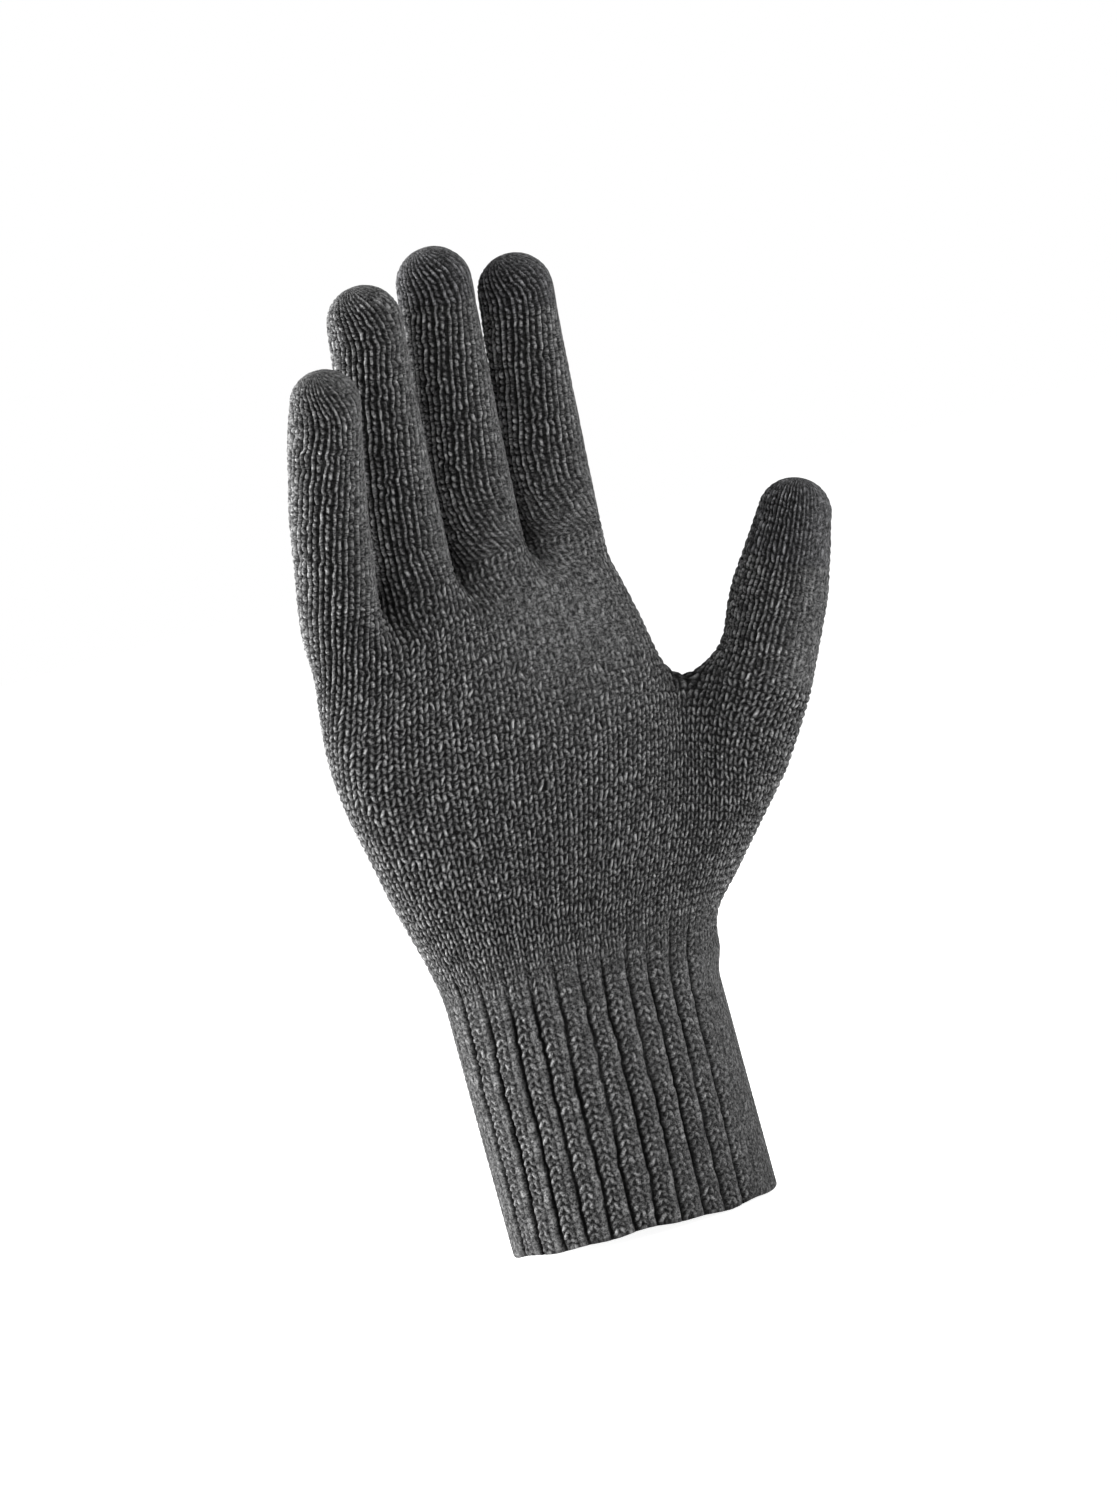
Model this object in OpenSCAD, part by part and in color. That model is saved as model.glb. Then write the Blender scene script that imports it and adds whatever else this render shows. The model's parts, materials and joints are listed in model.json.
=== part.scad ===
// Knitted touchscreen glove for a right hand, palm side facing -Y, thumb towards +X.
// The origin is the centre of the wrist opening, with +Z along the hand.

/* [Cuff] */
// Outer width of the rib cuff, across the wrist
cuff_w = 70.4; // [50:0.2:100]
// Outer depth of the rib cuff, from palm side to back
cuff_d = 42; // [30:0.2:60]
// Length of the cuff, from hem to wrist
cuff_h = 60; // [30:1:120]
// Length of the welt that finishes the hem
welt_h = 4; // [2:0.5:12]
// Thickness of the rib fabric at a crest
rib_wall = 2.6; // [1.8:0.1:5]
// Depth of the grooves between the ribs
rib_groove = 0.9; // [0.2:0.1:1.2]
// Number of ribs around the cuff
rib_count = 29; // [12:1:48]
// Number of elastic yarns laid round the inside of the cuff
elastic_rows = 7; // [2:1:16]
// Thickness of one elastic yarn
elastic_t = 0.7; // [0.3:0.1:1.2]

/* [Palm] */
// Thickness of the plain knit of the palm, fingers and thumb
knit_wall = 2; // [1.2:0.1:3.5]
// Height of the heel of the hand above the wrist
heel_up = 36; // [20:1:45]
// Reach of the heel to the little-finger side
heel_l = 44; // [34:0.5:60]
// Reach of the heel to the thumb side
heel_r = 44; // [34:0.5:60]
// Depth of the palm at the heel
heel_d = 38; // [28:0.5:60]
// Height of the thumb web above the wrist
web_up = 67; // [55:1:85]
// Reach of the palm to the little-finger side at the web
web_l = 51; // [36:0.5:64]
// Reach of the palm to the thumb side at the web
web_r = 44; // [36:0.5:60]
// Depth of the palm at the web
web_d = 34; // [26:0.5:56]
// Height of the top of the palm above the wrist
top_up = 99; // [90:1:120]
// Depth of the top of the palm
top_d = 25; // [22:0.5:40]
// How far the palm reaches past the outer fingers at its top
side_ease = 0.2; // [0:0.1:4]
// How far the palm arches towards the little finger
palm_arch = 11; // [0:0.5:16]
// How far the index finger's root lies behind the middle of the cuff
arch_top = 3; // [-4:0.5:6]

/* [Fingers] */
// Side position of the index finger's root
index_x = 27.5; // [20:0.5:40]
// Lean of the index, middle, ring and little finger towards the thumb, in degrees
finger_lean = [2, 2.2, 1.2, 5]; // [-4:0.2:8]
// Gap between the roots of the index and middle fingers
index_gap = 0.8; // [0.4:0.1:6]
// Gap between the roots of the middle and ring fingers
ring_gap = 1.2; // [0.4:0.1:6]
// Gap between the roots of the ring and little fingers
little_gap = 3.4; // [0.4:0.1:8]

/* [Index finger] */
// Height of the root above the top of the palm
index_rise = 6; // [4:0.5:16]
// Bend of each sleeve from upright at rest, in degrees
index_bend = [5, 8, 11]; // [0:1:40]
// Length of each sleeve, from the root to the tip
index_len = [30, 20.5, 21.5]; // [18:0.5:60]
// Outer diameter at the root, at both bends and where the tip rounds off
index_dia = [20.6, 20.4, 19.6, 19]; // [14:0.2:22]

/* [Middle finger] */
// Height of the root above the top of the palm
middle_rise = 7; // [4:0.5:16]
// Bend of each sleeve from upright at rest, in degrees
middle_bend = [5, 8, 11]; // [0:1:40]
// Length of each sleeve, from the root to the tip
middle_len = [33.5, 22, 22]; // [18:0.5:60]
// Outer diameter at the root, at both bends and where the tip rounds off
middle_dia = [20.2, 19.8, 19.6, 19]; // [14:0.2:22]

/* [Ring finger] */
// Height of the root above the top of the palm
ring_rise = 5; // [4:0.5:16]
// Bend of each sleeve from upright at rest, in degrees
ring_bend = [7, 12, 17]; // [0:1:40]
// Length of each sleeve, from the root to the tip
ring_len = [32, 21, 21.5]; // [18:0.5:60]
// Outer diameter at the root, at both bends and where the tip rounds off
ring_dia = [20.2, 19.8, 19.2, 18.8]; // [14:0.2:22]

/* [Little finger] */
// Height of the root above the top of the palm
little_rise = 3; // [2:0.5:16]
// Bend of each sleeve from upright at rest, in degrees
little_bend = [12, 20, 28]; // [0:1:40]
// Length of each sleeve, from the root to the tip
little_len = [25, 17, 18]; // [14:0.5:60]
// Outer diameter at the root, at both bends and where the tip rounds off
little_dia = [20, 19.6, 18.6, 17.6]; // [14:0.2:21]

/* [Thumb] */
// Centre of the thumb's root: sideways, from front to back, and up from the wrist
thumb_root = [61.5, -7, 55.5]; // [-20:0.5:80]
// Lean away from the hand, in degrees
thumb_lean = 30; // [15:1:50]
// Turn of the thumb's bending plane towards the palm, in degrees
thumb_turn = -25; // [-80:1:0]
// Bend of each sleeve from straight at rest, in degrees
thumb_bend = [8, 18]; // [0:1:40]
// Length of each sleeve, from the root to the tip
thumb_len = [27.5, 26.5]; // [18:0.5:60]
// Outer diameter at the root, at the bend and where the tip rounds off
thumb_dia = [27.4, 24.4, 18.8]; // [16:0.2:32]
// Diameter of the ball of the thumb
ball_dia = 30; // [27:0.5:38]
// Diameter of the heel of the thumb, beside the wrist
thumb_heel_dia = 25.5; // [20:0.5:34]

/* [Touch tips] */
// Length of the conductive tip of the index and middle fingers
touch_len = 14; // [11:0.5:17]
// Length of the conductive tip of the thumb
thumb_touch_len = 19; // [13:0.5:21]

/* [Clearances] */
// Gap between two sleeves where the knit folds
fold_gap = 0.3; // [0.1:0.05:0.8]
// Gap between an elastic yarn and the inside of the cuff
elastic_gap = 0.15; // [0.05:0.05:0.4]

/* [Hidden] */

// Colours of the yarns
knit_grey = "#4a4a4a";
rib_grey = "#464646";
touch_grey = "#3c3c3e";
elastic_grey = "#2c2c2c";

// Smoothness of round sleeves, ovals, balls, domes and ribs
$fn = 64;
oval_steps = 72;
palm_sides = 48;
ball_steps = 24;
stub_steps = 40;
dome_steps = 8;
rib_steps = 8;
palm_steps = 10;

// A knitted tube stretched over a hand is a little squarer than an ellipse
palm_square = 2.3;
// Sharpness of the groove between two ribs
groove_sharpness = 3;
// The heel of the thumb: how far it lies in front of the cuff's middle, and its lift per radius
heel_front = -2;
heel_lift = 1.1;
// How far the ball of the thumb stays below the thumb's root
ball_drop = 2.5;
// Overrun of a cut past the face that it opens
cut = 1;
// Thickness of the slices that the palm is lofted from
slice = 0.01;

// Each digit as one list: root centre, lean, turn, bends, lengths and diameters
function arch(x) = arch_top - palm_arch * pow((index_x - x) / (index_x - little_x), 2);
function finger_root(x, rise) = [x, arch(x), cuff_h + top_up + rise];
function beside(x, dia, next_dia, gap) = x - (max(dia) + max(next_dia)) / 2 - gap;
middle_x = beside(index_x, index_dia, middle_dia, index_gap);
ring_x = beside(middle_x, middle_dia, ring_dia, ring_gap);
little_x = beside(ring_x, ring_dia, little_dia, little_gap);
index = [finger_root(index_x, index_rise), finger_lean[0], 0, index_bend, index_len, index_dia];
middle = [finger_root(middle_x, middle_rise), finger_lean[1], 0, middle_bend, middle_len, middle_dia];
ring = [finger_root(ring_x, ring_rise), finger_lean[2], 0, ring_bend, ring_len, ring_dia];
little = [finger_root(little_x, little_rise), finger_lean[3], 0, little_bend, little_len, little_dia];
thumb = [
  thumb_root + [0, 0, cuff_h], thumb_lean, thumb_turn, thumb_bend, thumb_len, thumb_dia
];
digits = [index, middle, ring, little, thumb];

function root(d) = d[0];
function lean(d) = d[1];
function turn(d) = d[2];
function bend(d, i) = d[3][i];
function len_of(d, i) = d[4][i];
function rad(d, i) = d[5][i] / 2;

function turn_x(a, v) = [v.x, v.y * cos(a) - v.z * sin(a), v.y * sin(a) + v.z * cos(a)];
function turn_y(a, v) = [v.x * cos(a) + v.z * sin(a), v.y, v.z * cos(a) - v.x * sin(a)];
function turn_z(a, v) = [v.x * cos(a) - v.y * sin(a), v.x * sin(a) + v.y * cos(a), v.z];
function aimed(d, i, v) = turn_y(lean(d), turn_z(turn(d), turn_x(bend(d, i), v)));

// The fold line of a sleeve lies on its palm side, where the knit creases
function fold(d, i) =
  i == 0
    ? root(d) + aimed(d, 0, [0, -rad(d, 0), 0])
    : fold(d, i - 1) + aimed(d, i - 1, [0, rad(d, i - 1) - rad(d, i), len_of(d, i - 1)]);

// Smooth curve through the palm's stations: wrist, heel, web and top
station_z = [0, heel_up, web_up, top_up];
reach_l = [cuff_w / 2, heel_l, web_l, rad(little, 0) - little_x + side_ease];
reach_r = [cuff_w / 2, heel_r, web_r, rad(index, 0) + index_x + side_ease];
depth = [cuff_d, heel_d, web_d, top_d];

function slope(v, i) =
  i == 0 ? 0
  : i == 3 ? (v[3] - v[2]) / (station_z[3] - station_z[2])
  : (v[i + 1] - v[i - 1]) / (station_z[i + 1] - station_z[i - 1]);
function span_of(z) = z < heel_up ? 0 : z < web_up ? 1 : 2;
function cubic(v, i, h, t) =
  v[i] * (2 * pow(t, 3) - 3 * pow(t, 2) + 1)
  + slope(v, i) * h * (pow(t, 3) - 2 * pow(t, 2) + t)
  + v[i + 1] * (3 * pow(t, 2) - 2 * pow(t, 3))
  + slope(v, i + 1) * h * (pow(t, 3) - pow(t, 2));
function at_height(v, z, i) =
  cubic(v, i, station_z[i + 1] - station_z[i], (z - station_z[i]) / (station_z[i + 1] - station_z[i]));
function at(v, z) = at_height(v, z, span_of(z));

// One cross-section of the palm at height z above the wrist, drawn inwards by inset
function signed_pow(v, p) = sign(v) * pow(abs(v), p);
function squareness(z) = 2 + (palm_square - 2) * z / top_up;
function palm_point(z, inset, a) =
  let (half = (at(reach_l, z) + at(reach_r, z)) / 2 - inset)
  let (mid = (at(reach_r, z) - at(reach_l, z)) / 2)
  let (x = mid + half * signed_pow(cos(a), 2 / squareness(z)))
  let (y = (at(depth, z) / 2 - inset) * signed_pow(sin(a), 2 / squareness(z)))
  [x, y + arch(x) * z / top_up];
function palm_outline(z, inset) =
  [for (k = [0:palm_sides - 1]) palm_point(z, inset, 360 * k / palm_sides)];

// Points of an oval, and its angle at an even distance along the edge
function oval_point(w, d, a) = [w / 2 * cos(a), d / 2 * sin(a)];
function oval_outline(w, d) = [for (k = [0:oval_steps - 1]) oval_point(w, d, 360 * k / oval_steps)];
function edge_step(a) = norm(oval_point(cuff_w, cuff_d, a + 1) - oval_point(cuff_w, cuff_d, a));
edge_table = [for (a = 0, s = 0; a <= 360; s = s + edge_step(a), a = a + 1) [s, a]];
edge_total = edge_table[360][0];
function edge_angle(share) = lookup(share * edge_total, edge_table);

// The ribs' outline: rounded crests with a narrow groove between each two
rib_points = rib_count * rib_steps;
function groove_at(k) = rib_groove * pow(abs(cos(180 * k / rib_steps)), groove_sharpness);
function rib_point(k, a) = oval_point(cuff_w - 2 * groove_at(k), cuff_d - 2 * groove_at(k), a);
rib_outline = [for (k = [0:rib_points - 1]) rib_point(k, edge_angle(k / rib_points))];
cuff_in_w = cuff_w - 2 * rib_wall;
cuff_in_d = cuff_d - 2 * rib_wall;

// Elastic yarns are spread evenly over the ribs above the welt
elastic_pitch = (cuff_h - welt_h) / (elastic_rows + 1);
elastic_w = cuff_in_w - 2 * elastic_gap;
elastic_d = cuff_in_d - 2 * elastic_gap;

// Half profile of a sleeve between two heights, and of a tip that ends in a dome
function taper(d, i, z, h) = rad(d, i) + (rad(d, i + 1) - rad(d, i)) * min(1, z / h);
function ring_profile(d, i, z0, z1, h) = [
  [taper(d, i, z0, h) - knit_wall, z0], [taper(d, i, z0, h), z0],
  [taper(d, i, z1, h), z1], [taper(d, i, z1, h) - knit_wall, z1]
];
function dome(r, z, rise) =
  [for (k = [0:dome_steps]) [r * cos(90 * k / dome_steps), z + rise * sin(90 * k / dome_steps)]];
function reversed(v) = [for (k = [len(v) - 1:-1:0]) v[k]];

module oval_ring(w, d, in_w, in_d, z, h) {
  translate([0, 0, z])
    linear_extrude(h)
      difference() {
        polygon(oval_outline(w, d));
        polygon(oval_outline(in_w, in_d));
      }
}

module at_fold(d, i) {
  translate(fold(d, i))
    rotate([0, lean(d), 0])
      rotate([0, 0, turn(d)])
        rotate([bend(d, i), 0, 0])
          translate([0, rad(d, i), 0])
            children();
}

// A sleeve between two folds, which may end early where a touch tip takes over
module sleeve(d, i, z1) {
  at_fold(d, i)
    rotate_extrude()
      polygon(ring_profile(d, i, fold_gap / 2, z1, len_of(d, i)));
}

module open_sleeve(d, i) {
  sleeve(d, i, len_of(d, i) - fold_gap / 2);
}

// The closed end of a digit from height z0 of its last sleeve up to its tip
module closed_end(d, i, z0) {
  tip = rad(d, i + 1);
  shoulder = len_of(d, i) - tip;
  outer = concat([[taper(d, i, z0, shoulder), z0]], dome(tip, shoulder, tip));
  inner = concat(
    [[taper(d, i, z0, shoulder) - knit_wall, z0]],
    dome(tip - knit_wall, shoulder, tip - knit_wall)
  );
  at_fold(d, i)
    rotate_extrude()
      polygon(concat(outer, reversed(inner)));
}

// The sleeve below a touch tip tapers as if it ran on to the shoulder of the dome
module sleeve_below_tip(d, i, z1) {
  at_fold(d, i)
    rotate_extrude()
      polygon(ring_profile(d, i, fold_gap / 2, z1, len_of(d, i) - rad(d, i + 1)));
}

// The palm's solid form, drawn inwards by inset, with a stub for each digit
module palm_form(inset) {
  top = top_up - inset;
  palm_body(inset, top);
  thumb_ball(inset);
  for (d = digits) {
    digit_stub(d, inset);
  }
}

module palm_body(inset, top) {
  for (k = [0:palm_steps - 1]) {
    hull() {
      palm_slice(top * k / palm_steps, inset);
      palm_slice(top * (k + 1) / palm_steps, inset);
    }
  }
}

module palm_slice(z, inset) {
  translate([0, 0, cuff_h + z])
    linear_extrude(slice)
      polygon(palm_outline(z, inset));
}

// The ball of the thumb widens from beside the wrist and narrows to the thumb's root
module thumb_ball(inset) {
  heel_rad = thumb_heel_dia / 2;
  heel = [cuff_w / 2 - heel_rad / 2, heel_front, cuff_h + heel_rad * heel_lift];
  way = root(thumb) - heel;
  ball = root(thumb) - way / norm(way) * (ball_dia / 2 + ball_drop);
  hull() {
    knit_ball(heel, heel_rad - inset);
    knit_ball(ball, ball_dia / 2 - inset);
  }
  hull() {
    knit_ball(ball, ball_dia / 2 - inset);
    stub(thumb, rad(thumb, 0) - inset, slice, -fold_gap / 2);
  }
}

module knit_ball(centre, r) {
  translate(centre)
    sphere(r, $fn = ball_steps);
}

// A stub stands upright under each digit, with its fold line on the same palm-side edge
module digit_stub(d, inset) {
  over = inset > 0 ? cut : -fold_gap / 2;
  stub(d, rad(d, 0) - inset, 2 * rad(d, 0), over);
}

// A round length of a stub that ends at a height over its root
module stub(d, r, length, over) {
  translate(fold(d, 0))
    rotate([0, lean(d), 0])
      rotate([0, 0, turn(d)])
        translate([0, rad(d, 0), over - length])
          cylinder(h = length, r = r, $fn = stub_steps);
}

module below_wrist() {
  translate([-cuff_w, -cuff_w, -cut])
    cube([2 * cuff_w, 2 * cuff_w, cuff_h + fold_gap / 2 + cut]);
}

module cuff_welt() {
  color(rib_grey)
    oval_ring(cuff_w - rib_groove, cuff_d - rib_groove, cuff_in_w, cuff_in_d, 0, welt_h);
}

module rib_cuff() {
  color(rib_grey)
    translate([0, 0, welt_h])
      linear_extrude(cuff_h - welt_h - fold_gap / 2)
        difference() {
          polygon(rib_outline);
          polygon(oval_outline(cuff_in_w, cuff_in_d));
        }
}

module cuff_elastic() {
  color(elastic_grey)
    for (k = [1:elastic_rows]) {
      oval_ring(
        elastic_w, elastic_d, elastic_w - 2 * elastic_t, elastic_d - 2 * elastic_t,
        welt_h + k * elastic_pitch - elastic_t / 2, elastic_t
      );
    }
}

module palm_shell() {
  color(knit_grey)
    difference() {
      palm_form(0);
      palm_form(knit_wall);
      below_wrist();
    }
}

module index_lower_sleeve() {
  color(knit_grey) open_sleeve(index, 0);
}

module index_middle_sleeve() {
  color(knit_grey) open_sleeve(index, 1);
}

module index_upper_sleeve() {
  color(knit_grey) sleeve_below_tip(index, 2, len_of(index, 2) - touch_len);
}

module index_touch_tip() {
  color(touch_grey) closed_end(index, 2, len_of(index, 2) - touch_len);
}

module middle_lower_sleeve() {
  color(knit_grey) open_sleeve(middle, 0);
}

module middle_middle_sleeve() {
  color(knit_grey) open_sleeve(middle, 1);
}

module middle_upper_sleeve() {
  color(knit_grey) sleeve_below_tip(middle, 2, len_of(middle, 2) - touch_len);
}

module middle_touch_tip() {
  color(touch_grey) closed_end(middle, 2, len_of(middle, 2) - touch_len);
}

module ring_lower_sleeve() {
  color(knit_grey) open_sleeve(ring, 0);
}

module ring_middle_sleeve() {
  color(knit_grey) open_sleeve(ring, 1);
}

module ring_upper_sleeve() {
  color(knit_grey) closed_end(ring, 2, fold_gap / 2);
}

module little_lower_sleeve() {
  color(knit_grey) open_sleeve(little, 0);
}

module little_middle_sleeve() {
  color(knit_grey) open_sleeve(little, 1);
}

module little_upper_sleeve() {
  color(knit_grey) closed_end(little, 2, fold_gap / 2);
}

module thumb_lower_sleeve() {
  color(knit_grey) open_sleeve(thumb, 0);
}

module thumb_upper_sleeve() {
  color(knit_grey) sleeve_below_tip(thumb, 1, len_of(thumb, 1) - thumb_touch_len);
}

module thumb_touch_tip() {
  color(touch_grey) closed_end(thumb, 1, len_of(thumb, 1) - thumb_touch_len);
}

cuff_welt();
rib_cuff();
cuff_elastic();
palm_shell();
index_lower_sleeve();
index_middle_sleeve();
index_upper_sleeve();
index_touch_tip();
middle_lower_sleeve();
middle_middle_sleeve();
middle_upper_sleeve();
middle_touch_tip();
ring_lower_sleeve();
ring_middle_sleeve();
ring_upper_sleeve();
little_lower_sleeve();
little_middle_sleeve();
little_upper_sleeve();
thumb_lower_sleeve();
thumb_upper_sleeve();
thumb_touch_tip();
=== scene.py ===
"""Knitted touchscreen glove: every stitch of the rib cuff, palm, fingers and touch tips as relief."""

import json
import math

import bmesh
import bpy
import numpy as np
from bpy.props import FloatProperty, FloatVectorProperty, PointerProperty
from bpy.types import Operator, Panel, PropertyGroup
from mathutils import Matrix, Vector

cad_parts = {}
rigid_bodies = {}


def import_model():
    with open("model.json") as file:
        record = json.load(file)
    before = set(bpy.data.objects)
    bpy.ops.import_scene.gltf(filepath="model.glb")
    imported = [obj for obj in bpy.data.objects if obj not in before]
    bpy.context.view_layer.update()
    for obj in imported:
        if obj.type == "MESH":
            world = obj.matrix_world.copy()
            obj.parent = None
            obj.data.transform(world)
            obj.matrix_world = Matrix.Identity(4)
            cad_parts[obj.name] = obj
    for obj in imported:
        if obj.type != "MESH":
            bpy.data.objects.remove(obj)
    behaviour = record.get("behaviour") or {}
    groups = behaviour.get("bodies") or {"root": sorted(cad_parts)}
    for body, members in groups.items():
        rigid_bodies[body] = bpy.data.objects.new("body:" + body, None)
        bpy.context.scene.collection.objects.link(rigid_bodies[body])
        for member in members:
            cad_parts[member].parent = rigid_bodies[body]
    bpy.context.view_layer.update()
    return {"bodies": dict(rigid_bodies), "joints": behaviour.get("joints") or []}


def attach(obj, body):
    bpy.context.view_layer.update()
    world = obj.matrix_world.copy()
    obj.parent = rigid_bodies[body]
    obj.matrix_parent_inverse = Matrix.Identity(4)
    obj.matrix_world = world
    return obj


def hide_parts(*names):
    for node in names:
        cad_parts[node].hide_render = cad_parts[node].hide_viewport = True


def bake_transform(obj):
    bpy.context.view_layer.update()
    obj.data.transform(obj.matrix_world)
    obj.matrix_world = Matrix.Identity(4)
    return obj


bl_info = {
    "name": "Knitted touchscreen glove",
    "version": (1, 0, 0),
    "blender": (4, 5, 0),
    "location": "3D View > Sidebar > Glove",
    "description": "Knits the glove's cuff, palm, fingers and touch tips around the packed frame",
    "category": "Object",
}

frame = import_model()
JOINTS = {joint["name"]: joint for joint in frame["joints"]}

MM = 0.001

# The form of the glove in millimetres, as the solids have it.
CUFF_W, CUFF_D, CUFF_H = 70.4, 42.0, 60.0
WELT_H = 4.0
RIB_WALL, KNIT_WALL = 2.6, 2.0
RIBS = 29
ELASTIC_ROWS, ELASTIC_T, ELASTIC_GAP = 7, 0.7, 0.15
STATION_Z = np.array([0.0, 36.0, 67.0, 99.0])
REACH_LITTLE = np.array([35.2, 44.0, 51.0, 48.8])
REACH_THUMB = np.array([35.2, 44.0, 44.0, 38.0])
PALM_DEPTH = np.array([42.0, 38.0, 34.0, 25.0])
PALM_SQUARE = 2.3
PALM_ARCH, ARCH_TOP = 11.0, 3.0
INDEX_X, LITTLE_X = 27.5, -38.6
FINGERS, PARTS = ("little", "ring", "middle", "index"), ("lower", "middle", "upper")
DIGITS = {
    "little": dict(lean=5, turn=0, bend=(12, 20, 28), length=(25, 17, 18), dia=(20, 19.6, 18.6, 17.6)),
    "ring": dict(lean=1.2, turn=0, bend=(7, 12, 17), length=(32, 21, 21.5), dia=(20.2, 19.8, 19.2, 18.8)),
    "middle": dict(lean=2.2, turn=0, bend=(5, 8, 11), length=(33.5, 22, 22), dia=(20.2, 19.8, 19.6, 19)),
    "index": dict(lean=2, turn=0, bend=(5, 8, 11), length=(30, 20.5, 21.5), dia=(20.6, 20.4, 19.6, 19)),
    "thumb": dict(lean=30, turn=-25, bend=(8, 18), length=(27.5, 26.5), dia=(27.4, 24.4, 18.8)),
}
TOUCH_LENGTH = {"index": 14.0, "middle": 14.0, "thumb": 19.0}
# Heel of the thumb and the swell of its ball, from the wrist to the thumb's root.
THUMB_HEEL = np.array([19.3, -0.55, 62.0])
BALL_SHARES, BALL_RADII = (0.0, 0.224, 0.744, 1.0), (12.0, 12.75, 15.0, 13.7)
# The web draws the thumb in on the side of the palm: depth, distance from the root and reach along it, and
# how narrow that is round it.
WEB_HOLLOW = {"thumb": (1.8, 11.0, 8.0)}
HOLLOW_NARROW = 1.5
# How far a digit bows to the thumb side half-way along and at its tip.
BOW = {
    "little": (0.0, 0.6),
    "ring": (0.0, -0.8),
    "middle": (0.0, -0.4),
    "index": (0.0, 0.0),
    "thumb": (0.8, 0.2),
}
# The open palm is turned a little: the way it faces, seen from above, and the way across it to the thumb.
PALM_TURN = math.radians(22)
FACING = np.array([-math.sin(PALM_TURN), -math.cos(PALM_TURN)])
THUMB_WAY = np.array([math.cos(PALM_TURN), -math.sin(PALM_TURN)])
# The wrist widens towards the heel of the thumb: how far, and where that starts, is full and ends.
HEEL_FLARE, FLARE_FROM, FLARE_FULL, FLARE_TO = 2.1, 52.0, 61.0, 71.0
# Heights between which the knit bends with the wrist.
# Length of knit on each side of a digit's fold, the same before the thumb's tip fold, and what is
# spared of it.
FOLD_HALF, THUMB_FOLD_HALF, FOLD_SPARE = 9.5, 10.5, 0.4

# The layout of the knit: wales run along the glove and courses round it.
FINGER_WALES, FRONT_WALES = 18, 8
THUMB_WALES, THUMB_FRONT = 26, 12
PALM_WALES = 8 * FRONT_WALES + 2
WRIST_WALES = PALM_WALES - 1 + THUMB_WALES - 1
FINGER_COURSE, THUMB_COURSE = 1.95, 2.1
WEB_Z = 125.4
LOWER_COURSES, UPPER_COURSES = 32, 19
PALM_COURSE = (WEB_Z - CUFF_H) / LOWER_COURSES
CROTCH_Z = (160.0, 162.3, 166.3, 168.0, 166.0)
# Wales by which a finger's knit is drawn sideways where it leaves the palm, and over how many courses.
ROOT_SWEEP, SWEEP_OVER = {"little": 0, "ring": 1, "middle": 3, "index": 3, "thumb": 0}, 12
# Wales by which the knit drifts sideways in one course, as a knitted tube twists.
PALM_TWIST, FINGER_TWIST = 0.16, 0.075
# Course of the palm from which it twists, and how many courses it takes to turn into that.
TWIST_FROM, TWIST_OVER = 20.0, 10.0
# Wales by which it turns to the little-finger side at a closed end, and over what length.
TIP_SWEEP, TIP_LENGTH = 2.5, 15.0
# Where a closed end gathers, in degrees: tilt from the tip, and turn from the little-finger side to the back.
FINGER_GATHER, THUMB_GATHER = (15, 40), (10, 60)
# Courses below a finger's root at which the palm's stitch starts to open, over how many it does, and how far
# the thumb's opens.
OPEN_BELOW, OPEN_OVER, THUMB_OPEN = 5.0, 8.0, 0.75
# On the little-finger side it opens lower: where, how wide, and how many courses that adds to both.
EDGE_X, EDGE_REACH, EDGE_BELOW, EDGE_OVER = -42.0, 14.0, 12.0, 8.0
# The knit is drawn smooth below the index and middle fingers: how much, and its place and reach in x and z.
DRAWN, DRAWN_X, DRAWN_Z, DRAWN_WIDE, DRAWN_HIGH = 0.85, 22.0, 150.0, 24.0, 22.0
# It is also drawn flat on the thumb-side flank of a digit: how much, at how many degrees from the palm side,
# how wide, and over how many courses from the root.
FLANK, FLANK_AT, FLANK_WIDE, FLANK_OVER = 0.9, 62.0, 34.0, 3.0
# It gathers smoothly at a closed end in two steps: share, distance from the end, and length.
END_CALM = ((0.8, 7.0, 6.0), (0.2, 2.0, 2.0))
# Length over which a finger's relief turns into that of its touch tip.
TOUCH_BLEND = 3.0
# Yarn legs of one stitch by kind of knit: foot, head and half width in shares of a wale, the depth of the
# gap to the next course, and how high the leg stands.
STITCH = {
    "plain": ((0.13, 0.36, 0.135, 0.72, 1.0), (0.87, 0.64, 0.135, 0.72, 1.0)),
    "open": ((0.14, 0.16, 0.1, 0.25, 1.0), (0.69, 0.52, 0.12, 0.95, 1.0)),
    "rib": ((0.11, 0.3, 0.085, 0.8, 1.0), (0.56, 0.37, 0.085, 0.8, 1.0), (0.77, 0.77, 0.16, 0.4, 0.7)),
}
# How squarely a leg ends at that gap, and how fast painted shade darkens it as its height falls towards the
# gap.
LEG_SQUARE, PAINTED_SHADE_FALL = 2.5, 1.4
# Seeds of the random draws, and the step from one draw to the next for the same piece.
CHANCE_SEED, CUFF_SEED, PALM_SEED, FINGER_SEED, THUMB_SEED, SEED_STEP = 7, 11, 21, 31, 41, 50
# Each leg has its own mix of pale and dark fibres: number, skew and mean of the chances, the chances, and the
# lowest and highest tone.
CHANCES, CHANCE_SKEW, CHANCE_MEAN = 64, 1.8, 0.36
CHANCE = np.random.RandomState(CHANCE_SEED).uniform(0, 1, (CHANCES, CHANCES, 3)) ** CHANCE_SKEW
TONE_LOW, TONE_HIGH = 0.72, 1.95
# How far stitches drift along and sway across, how much their height varies, and over how many courses or
# wales from the edge of a piece that grows.
DRIFT, SWAY, SWELL, RIM = 0.18, 0.07, 0.16, 1.5
# Painted shade in the gaps of the plain knit and of the rib, the tone of the rib as a whole, and painted
# shade on the inner face.
GAP_PAINTED_SHADE, RIB_GAP_PAINTED_SHADE, RIB_SHADE, INNER_PAINTED_SHADE = 0.06, 0.1, 0.83, 0.35
# Height and shade of knit drawn flat, its flecks in one wale and one course, and their least shade and span.
FLAT_HEIGHT, FLAT_SHADE = 0.72, 0.55
FLECKS_ACROSS, FLECKS_ALONG, FLECK_LOW, FLECK_SPAN = 4, 2, 0.65, 0.95
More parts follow.
